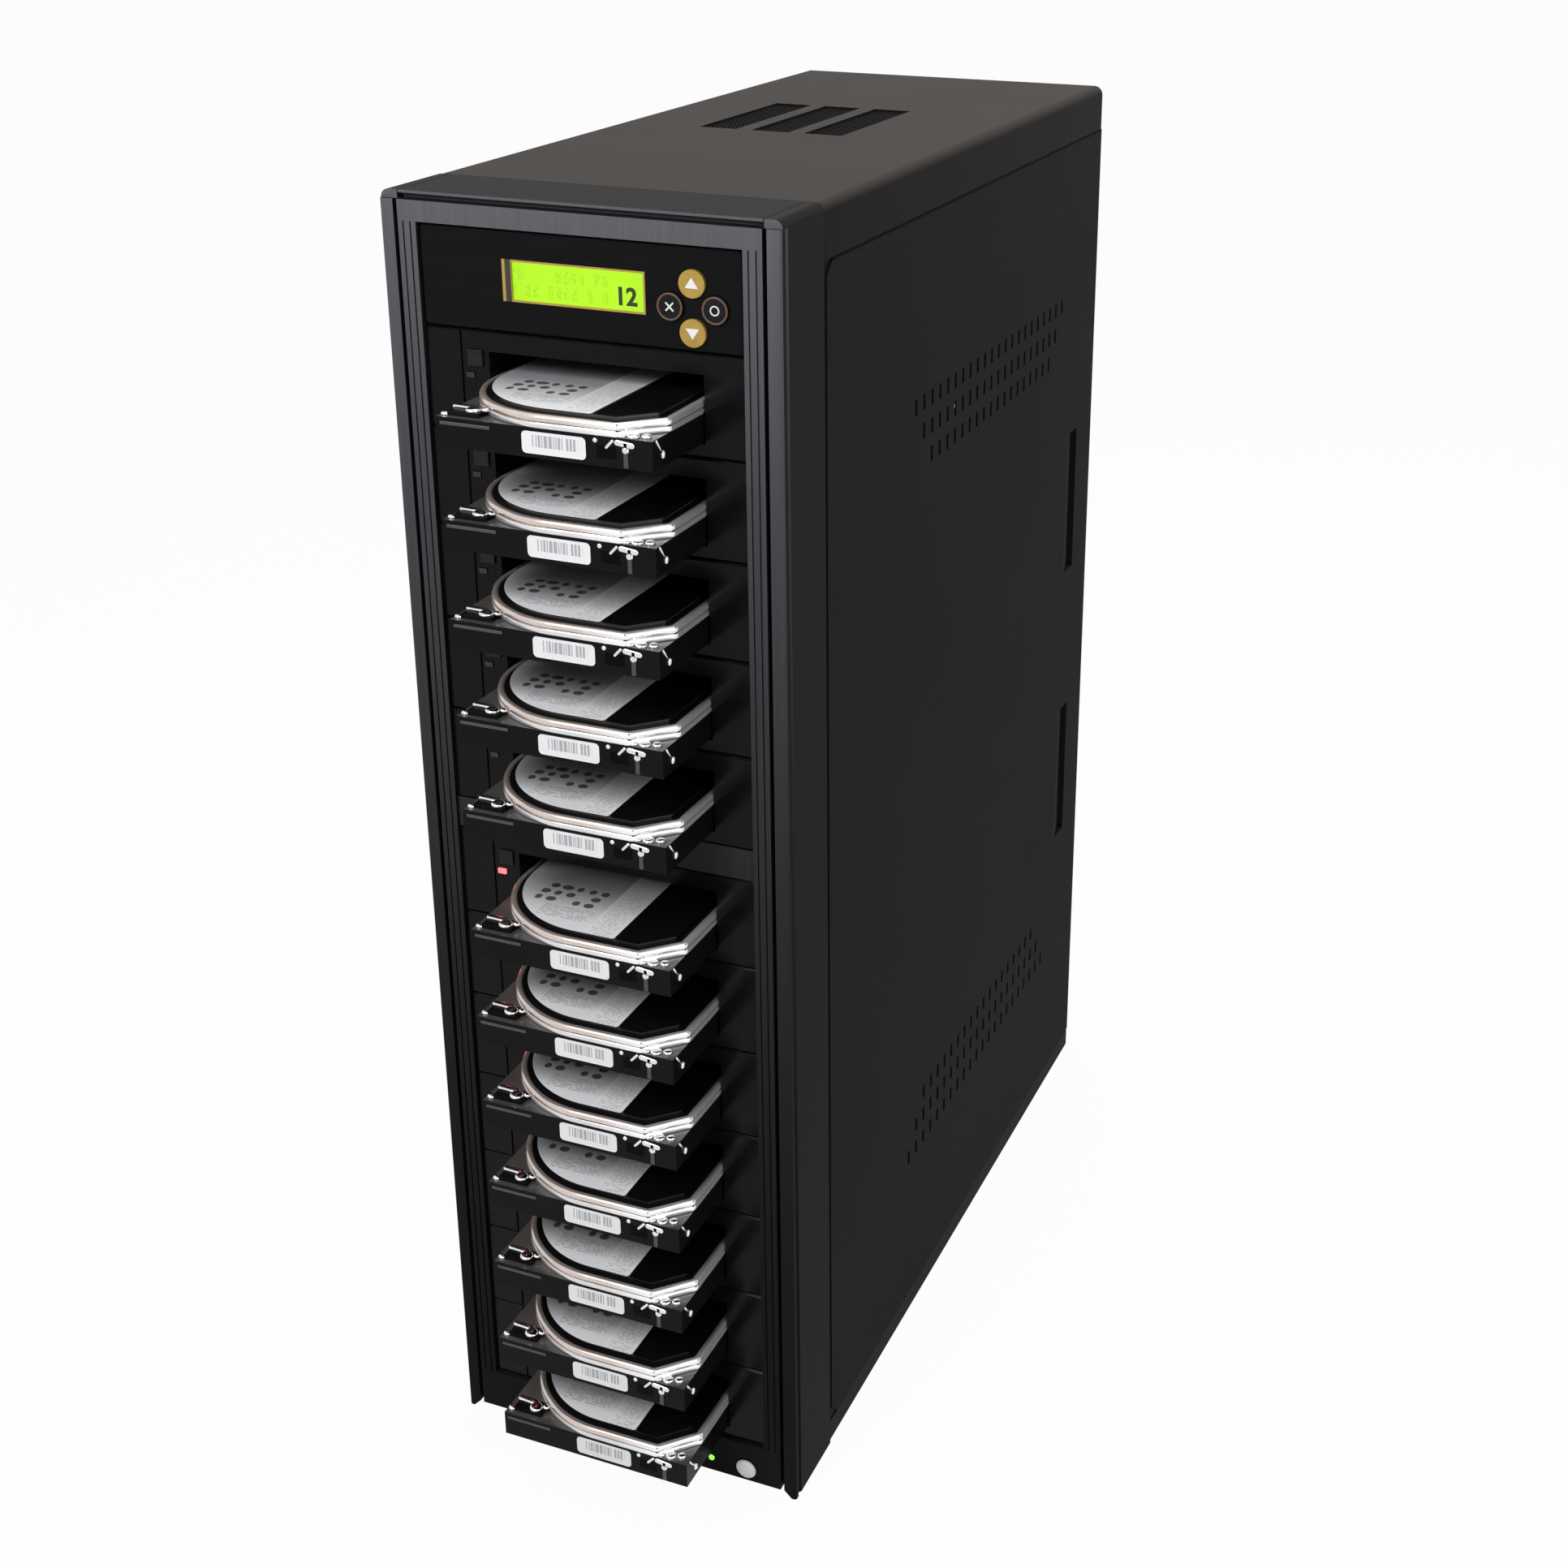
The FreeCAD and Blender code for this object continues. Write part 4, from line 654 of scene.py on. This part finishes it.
def drive_coat():
    """Black-coated casting and cover. The height above each disk's own underside, where the
    disks repeat at the bays' pitch, tells the bare edge of the raised cover from the coat."""
    coat = Finish("drive_coat", Specular_IOR_Level=0.06)
    place = coat.place()
    z = coat.axes(place)[2]
    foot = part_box(DRIVES[11])[0].z
    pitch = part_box(DRIVES[10])[0].z - foot
    first_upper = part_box(DRIVES[4])[0].z
    upper = z > first_upper - MM
    divider = first_upper - foot - LOWER_BAYS * pitch
    margin, bare_edge, deck_reach = 0.5, 1.7, 1.0
    height = ((z - foot - upper * divider + margin * MM) / pitch).part() * pitch / MM - margin
    upward = coat.facing()[2] > 0.5
    edge = (height > COVER - bare_edge) * (1.0 - upward)
    deck = upward * (height < SHELF + deck_reach)
    fleck = coat.noise(place, 1500.0, 1.0)
    cloud = coat.noise(place, 60.0, 3.0)
    black = coat.tint(fleck * 0.5 + cloud * 0.5, (0.003, 0.003, 0.0035), (0.008, 0.008, 0.009))
    black = coat.tint(deck, black, coat.tint(cloud, (0.10, 0.095, 0.09), (0.20, 0.19, 0.18)))
    return coat.paint(Base_Color=coat.tint(edge, black, (0.16, 0.15, 0.145)),
                      Metallic=edge * 0.7 + deck * 0.6, Roughness=0.24 + (cloud - 0.5) * 0.12,
                      Normal=coat.bump(fleck, 0.00002))


def polished_rim():
    """Polished aluminium: a bright lower bead, a dark line and a warmer upper bead, with a painted
    highlight that whitens it towards the right.
    """
    rim = Finish("polished_rim", Metallic=0.7)
    u, v, _ = rim.axes(rim.node("UVMap", {"uv_map": "millimetres"}, {}))
    place = rim.place()
    brushed = rim.noise(rim.node("Mapping", {}, {"Vector": place, "Scale": (60.0, 60.0, 3000.0)}), 1.0, 2.0)
    cloud = rim.noise(place, 160.0, 3.0)
    silver = rim.tint(((v - (SHELF + 2.4)) / 0.5).clamped(), (0.88, 0.87, 0.88), (0.78, 0.67, 0.61))
    dark = 1.0 - ((v - (SHELF + 2.65)).size() / 0.55).clamped()
    silver = rim.tint(dark * 0.8, silver, (0.10, 0.075, 0.065))
    silver = rim.tint(0.12 + cloud * 0.3, silver, (0.30, 0.26, 0.24))
    # Painted highlight: towards the cut corner at the right the rim is painted near white, the reflection
    # of the light from the right front.
    silver = rim.tint(((u - 62.0) / 22.0).clamped() * 0.8, silver, (0.98, 0.98, 1.0))
    return rim.paint(Base_Color=silver, Roughness=0.22 + (brushed - 0.5) * 0.2,
                     Normal=rim.bump(brushed, 0.00002))


def printed_label():
    """Label with rows of dark oval blocks, fine lines of bars and a strip at the right. Painted shade
    darkens the paper towards the rear; the strip is painted brighter as a painted highlight.
    """
    label = Finish("drive_label", Specular_IOR_Level=0.4)
    place = label.node("UVMap", {"uv_map": "millimetres"}, {})
    u, v, _ = label.axes(place)
    block_height, block_width, line_height, fine_height = 6.2, 6.6, 1.5, 1.3
    rows, lines, fine_lines = v / block_height, v / line_height, v / fine_height
    row = rows.floor()
    spread = u / block_width + label.chance(label.vector(row, 3.0)) * 0.7
    across, along = spread.part() - 0.5, rows.part() - 0.5
    broad = label.chance(label.vector(spread.floor(), row, 5.0)) * 9.0 + 3.0
    oval = (across * across * broad + along * along * 7.0) < 0.8
    block = (oval * (label.chance(label.vector(spread.floor(), row, 7.0)) > 0.16)
             * (v > 24.8) * (v < 43.4) * (u < 50.0) * (u > 18.0))
    dash = label.chance(label.vector((u / 1.1).floor(), lines.floor())) > 0.35
    line = (lines.part() < 0.5) * dash * (v < 23.5) * (v > 13.0) * (u < 52.0) * (u > 26.0)
    strip = u > 55.0
    fine_dash = label.chance(label.vector((u / 0.9).floor(), fine_lines.floor(), 2.0)) > 0.5
    fine = (fine_lines.part() < 0.55) * fine_dash * strip * (u < 69.0) * (u > 57.0)
    # Painted shade: the paper goes from near white at the front to dark grey towards the rear, where the
    # disk above shades it; the strip keeps a painted highlight.
    painted_rear_shade = ((v - 12.0) / 34.0).clamped()
    paper = label.tint(painted_rear_shade, (0.90, 0.90, 0.93), (0.30, 0.30, 0.32))
    paper = label.tint(line * 0.4, paper, (0.08, 0.08, 0.09))
    paper = label.tint(block * 0.85, paper, (0.02, 0.02, 0.022))
    paper = label.tint(strip, paper, label.tint(painted_rear_shade, (0.93, 0.93, 0.95), (0.62, 0.62, 0.65)))
    paper = label.tint(fine * 0.42, paper, (0.3, 0.3, 0.33))
    fibre = label.noise(label.place(), 1600.0)
    return label.paint(Base_Color=paper, Roughness=0.32 + fibre * 0.12)


def printed_sticker():
    """White sticker with a row of grey upright bars."""
    sticker = Finish("bar_sticker", Specular_IOR_Level=0.4, Roughness=0.4)
    u, v, _ = sticker.axes(sticker.node("UVMap", {"uv_map": "millimetres"}, {}))
    bars = (sticker.chance(sticker.vector((u / 0.55).floor(), 1.0)) > 0.42) * (u > 3.5) * (u < 26.5)
    tall = (v - 5.6).size() < 2.6
    fibre = sticker.noise(sticker.place(), 1500.0)
    white = sticker.tint(fibre, (0.70, 0.70, 0.72), (0.82, 0.82, 0.84))
    return sticker.paint(Base_Color=sticker.tint(bars * tall * 0.7, white, (0.22, 0.22, 0.24)))


def bright_metal(name, colour=(0.85, 0.84, 0.83), roughness=0.16):
    """Turned and plated metal with fine tooling lines."""
    bright = Finish(name, Metallic=1.0)
    tooling = bright.noise(bright.place(), 2400.0, 2.0)
    dull = tuple(part * 0.78 for part in colour)
    return bright.paint(Base_Color=bright.tint(tooling, dull, colour),
                        Roughness=roughness + (tooling - 0.5) * 0.12)


def arc(middle, radius, start, end, count):
    """Points along part of a circle, from one angle in degrees to another."""
    angle = np.radians(np.linspace(start, end, count))
    return np.stack([middle[0] + radius * np.cos(angle), middle[1] + radius * np.sin(angle)], axis=-1)


def measured(piece, origin, across, up):
    """Write a map of millimetres along two directions of the piece, for its print."""
    mesh = piece.data
    co = np.zeros(len(mesh.vertices) * 3)
    mesh.vertices.foreach_get("co", co)
    corner = np.zeros(len(mesh.loops), int)
    mesh.loops.foreach_get("vertex_index", corner)
    local = (co.reshape(-1, 3) / MM - origin)[corner]
    layer = mesh.uv_layers.new(name="millimetres")
    layer.data.foreach_set("uv", np.column_stack([local @ across, local @ up]).ravel())


label_print = printed_label()
sticker_print = printed_sticker()
rim_polish = polished_rim()
cover_gloss = gloss_black("cover_gloss", (0.003, 0.003, 0.0035), 0.12, 0.05)
plated = bright_metal("plated_steel")
# Painted shade: a flat black sheet stands for the shade in a recess on each disk's front.
painted_recess_shade = gloss_black("painted_recess_shade", (0.002, 0.002, 0.002), 0.3, 0.03)
bracket_grey = plain_enamel("bracket_grey", (0.05, 0.05, 0.05), 0.4)
repaint(drive_coat(), *DRIVES)


def corner(x, y, radius, start, turn):
    """A rounded corner of an outline, from the place where its two edges would meet."""
    reach = radius * math.tan(math.radians(turn / 2))
    edge = math.radians(start + 90)
    middle = (x - reach * math.cos(edge) - radius * math.cos(edge - math.pi / 2),
              y - reach * math.sin(edge) - radius * math.sin(edge - math.pi / 2))
    return arc(middle, radius, start, start + turn, 7)


def cover_outline(chamfer):
    """Front left a quarter of the platters' circle, front right a cut corner."""
    return np.concatenate([arc(PLATTERS, PLATTER_RADIUS, 180, 270, 41),
                           corner(WIDE - chamfer, 0.0, 4.0, 270, 45),
                           corner(WIDE, chamfer, 4.0, 315, 45), corner(WIDE, LONG, 2.0, 0, 90),
                           corner(0.0, LONG, 2.0, 90, 90)])


def top_place(low, height):
    """Places a plate flat on the disk, at a height above its underside."""
    return lambda p: low + np.column_stack([p[:, 0], p[:, 1], height + p[:, 2]])


def side_place(low, y, z):
    """Places a plate on the disk's right side: it stands out towards +X."""
    return lambda p: low + np.column_stack([WIDE + p[:, 2], y + p[:, 0], z + p[:, 1]])


def bar_outline(start, end, width):
    """A straight bar with round ends."""
    start, end = np.array(start), np.array(end)
    turn = math.degrees(math.atan2(*(end - start)[::-1]))
    return np.concatenate([arc(start, width / 2, turn + 90, turn + 270, 7),
                           arc(end, width / 2, turn - 90, turn + 90, 7)])


RIM_LOOP = [(0.3, 0.05), (-0.35, 0.1), (-0.5, 0.7), (-0.5, 1.8), (-0.3, 2.3), (0.0, 2.5), (0.0, 2.8),
            (-0.3, 3.1), (-0.5, 3.6), (-0.45, 4.5), (-0.1, 5.4), (0.7, 5.9), (1.7, 5.9), (2.5, 5.6),
            (2.7, 5.3)]
LABEL_OUTLINE = np.concatenate([arc(PLATTERS, LABEL_RADIUS, 180, 270, 31), corner(71.0, 5.2, 1.5, 270, 90),
                                corner(71.0, 118.0, 1.5, 0, 90), corner(5.2, 118.0, 1.5, 90, 90)])
GLOSS_OUTLINE = np.array([(72.0, 5.0), (83.2, 5.0), (96.6, 18.4), (96.6, 141.8), (72.0, 141.8)])
STICKER_OUTLINE = np.concatenate([corner(30.0, 0.0, 2.0, 270, 90), corner(30.0, 9.6, 2.0, 0, 90),
                                  corner(0.0, 9.6, 2.0, 90, 90), corner(0.0, 0.0, 2.0, 180, 90)])
RECESS_OUTLINE = np.array([(76.0, 3.6), (85.0, 3.6), (85.0, 9.0), (76.0, 9.0)])
POST_OUTLINE = np.array([(88.6, 0.6), (90.6, 0.6), (90.6, 11.5), (88.6, 11.5)])
CHAMFER = 16.0
LUG = SHELF + 2.1
STICKER_LEFT, STICKER_FOOT = 41.0, 1.8
ACROSS, BACK, UP = np.eye(3)
PAPER = [(0.0, -0.05), (0.0, 0.1)]
PRESSED = [(0.0, -0.2), (0.0, 0.3), (0.3, 0.5)]
DOME = [(0.0, -0.2), (0.0, 0.45), (0.12, 0.8), (0.4, 1.1), (0.8, 1.3), (1.2, 1.4)]
BEAD = [(0.0, -0.2), (0.0, 0.7), (0.2, 1.0), (0.6, 1.2)]

for drive in DRIVES:
    low = np.array(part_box(drive)[0]) / MM
    tag = drive[-2:]
    rim = band(f"drive_rim_{tag}", cover_outline(CHAMFER), RIM_LOOP, top_place(low, SHELF), rim_polish,
               drive, "drive_metal")
    measured(rim, low, ACROSS, UP)
    label = plate(f"drive_label_{tag}", LABEL_OUTLINE, PAPER, top_place(low, COVER), label_print,
                  drive, "drive_metal")
    measured(label, low, ACROSS, BACK)
    plate(f"drive_gloss_{tag}", GLOSS_OUTLINE, [(0.0, -0.05), (0.0, 0.12), (0.3, 0.2)],
          top_place(low, COVER), cover_gloss, drive, "drive_metal")
    sticker = plate(f"drive_sticker_{tag}", STICKER_OUTLINE, PAPER,
                    front_place(low[0] + STICKER_LEFT, low[1], low[2] + STICKER_FOOT),
                    sticker_print, drive, "drive_metal")
    measured(sticker, low + (STICKER_LEFT, 0.0, STICKER_FOOT), ACROSS, UP)
    flat, front = top_place(low, SHELF), front_place(low[0], low[1], low[2])
    fasteners = [
        plate_shape(bar_outline((4.6, 9.6), (13.0, 9.2), 3.4), BEAD, top_place(low, LUG)),
        plate_shape(circle(3.3, 24, (14.6, 6.4)), DOME, top_place(low, LUG)),
        plate_shape(circle(1.8, 16, (19.2, 8.4)), DOME, top_place(low, LUG)),
        plate_shape(bar_outline((80.6, 8.4), (83.4, 11.4), 1.3), PRESSED, front),
        plate_shape(bar_outline((85.6, 11.0), (92.4, 10.2), 2.6), [(0.0, -0.2), (0.0, 0.4), (0.4, 0.7)],
                    front),
        plate_shape(circle(1.7, 16, (89.4, 8.0)), [(0.0, -0.2), (0.0, 0.3), (0.5, 0.7), (1.0, 0.85)],
                    front),
        plate_shape(circle(1.9, 16, (2.3, 4.0)), DOME, flat),
        plate_shape(circle(2.2, 16, (86.6, 2.5)), DOME, flat),
        plate_shape(circle(2.7, 16, (91.6, 3.2)), DOME, flat),
        plate_shape(circle(2.2, 16, (96.6, 4.8)), DOME, flat),
        plate_shape(circle(1.1, 12, (75.4, 10.9)), [(0.0, -0.2), (0.0, 0.2), (0.4, 0.45)], front),
        plate_shape(bar_outline((3.6, 12.2), (7.2, 8.0), 1.3), [(0.0, -0.2), (0.0, 0.35), (0.3, 0.5)],
                    side_place(low, 0.0, 0.0)),
        plate_shape(circle(1.9, 20), [(0.0, -0.2), (0.0, 0.3), (0.5, 0.75), (1.2, 0.95)],
                    side_place(low, 9.5, 5.2)),
    ]
    bundle(f"drive_fasteners_{tag}", fasteners, plated, drive, "drive_metal", True)
    # Painted shade: a flat black sheet on the front face, in place of the shade inside a recess.
    plate(f"drive_recess_{tag}", RECESS_OUTLINE, [(0.0, -0.05), (0.0, 0.08)], front, painted_recess_shade,
          drive, "drive_metal")
    brackets = [plate_shape(POST_OUTLINE, [(0.0, -0.05), (0.0, 0.5), (0.3, 0.7)], front),
                plate_shape(np.array([(2.0, 9.8), (26.0, 9.8), (26.0, 11.2), (2.0, 11.2)]),
                            [(0.0, -0.05), (0.0, 0.3), (0.2, 0.4)], front)]
    bundle(f"drive_brackets_{tag}", brackets, bracket_grey, drive, "drive_metal")


# --- Power controls ----------------------------------------------------------------------
# A round push button of bright metal with a pale satin cap, and a green lens beside it,
# both set in the bar under the bays.

def green_lens():
    lens = Finish("lamp_glow", Emission_Strength=1.8, Roughness=0.15)
    core = lens.noise(lens.place(), 900.0)
    return lens.paint(Base_Color=lens.tint(core, (0.02, 0.2, 0.04), (0.05, 0.4, 0.1)),
                      Emission_Color=lens.tint(core, (0.12, 0.55, 0.01), (0.3, 0.8, 0.06)))


repaint(green_lens(), "power_lamp")
repaint(bright_metal("button_metal", (0.6, 0.6, 0.62), 0.25), "power_button")
x, _, z = middle_of("power_button")
cap_profile = [(0.35, 0.0), (0.35, 0.3), (0.7, 0.7), (1.6, 1.1), (2.9, 1.35), (4.2, 1.42)]
plate("power_cap", circle(5.4, 40), cap_profile, front_place(x, front_of("power_button"), z),
      plain_enamel("cap_satin", (0.80, 0.77, 0.78), 0.3), "power_button", "power_metal", True)


# --- Chassis, fans and power supply ----------------------------------------------------------
# What the back shows: black moulded fans behind the slotted grilles, a steel-cased supply
# with its mains inlet and rocker, and the screws that hold them.

def moulded(name, colour, roughness=0.45):
    """Fibre-filled matt moulding."""
    plastic = Finish(name, Specular_IOR_Level=0.4)
    place = plastic.place()
    fibre = plastic.noise(place, 700.0, 3.0)
    flow = plastic.noise(place, 40.0, 2.0)
    pale = tuple(part * 1.7 for part in colour)
    return plastic.paint(Base_Color=plastic.tint(fibre * 0.6 + flow * 0.4, colour, pale),
                         Roughness=roughness + (fibre - 0.5) * 0.16, Normal=plastic.bump(fibre, 0.00004))


fan_moulding = moulded("fan_moulding", (0.014, 0.014, 0.015))
repaint(fan_moulding, "fan_frames", "upper_fan_rotor", "lower_fan_rotor", "supply_fan_rotor")
repaint(powder_coat("supply_coat", (0.045, 0.045, 0.048), 0.42), "power_supply")
repaint(powder_coat("chassis_coat", (0.022, 0.022, 0.023), 0.45), "front_plate", "bay_cage")
repaint(moulded("inlet_moulding", (0.012, 0.012, 0.013)), "mains_inlet")
repaint(moulded("rocker_moulding", (0.016, 0.016, 0.017), 0.3), "supply_rocker")
repaint(moulded("pad_rubber", (0.02, 0.02, 0.02), 0.7), "rubber_feet")
screw_oxide = bright_metal("screw_oxide", (0.09, 0.09, 0.095), 0.32)
repaint(screw_oxide, "case_screws", "thumb_screws_left", "thumb_screws_right")
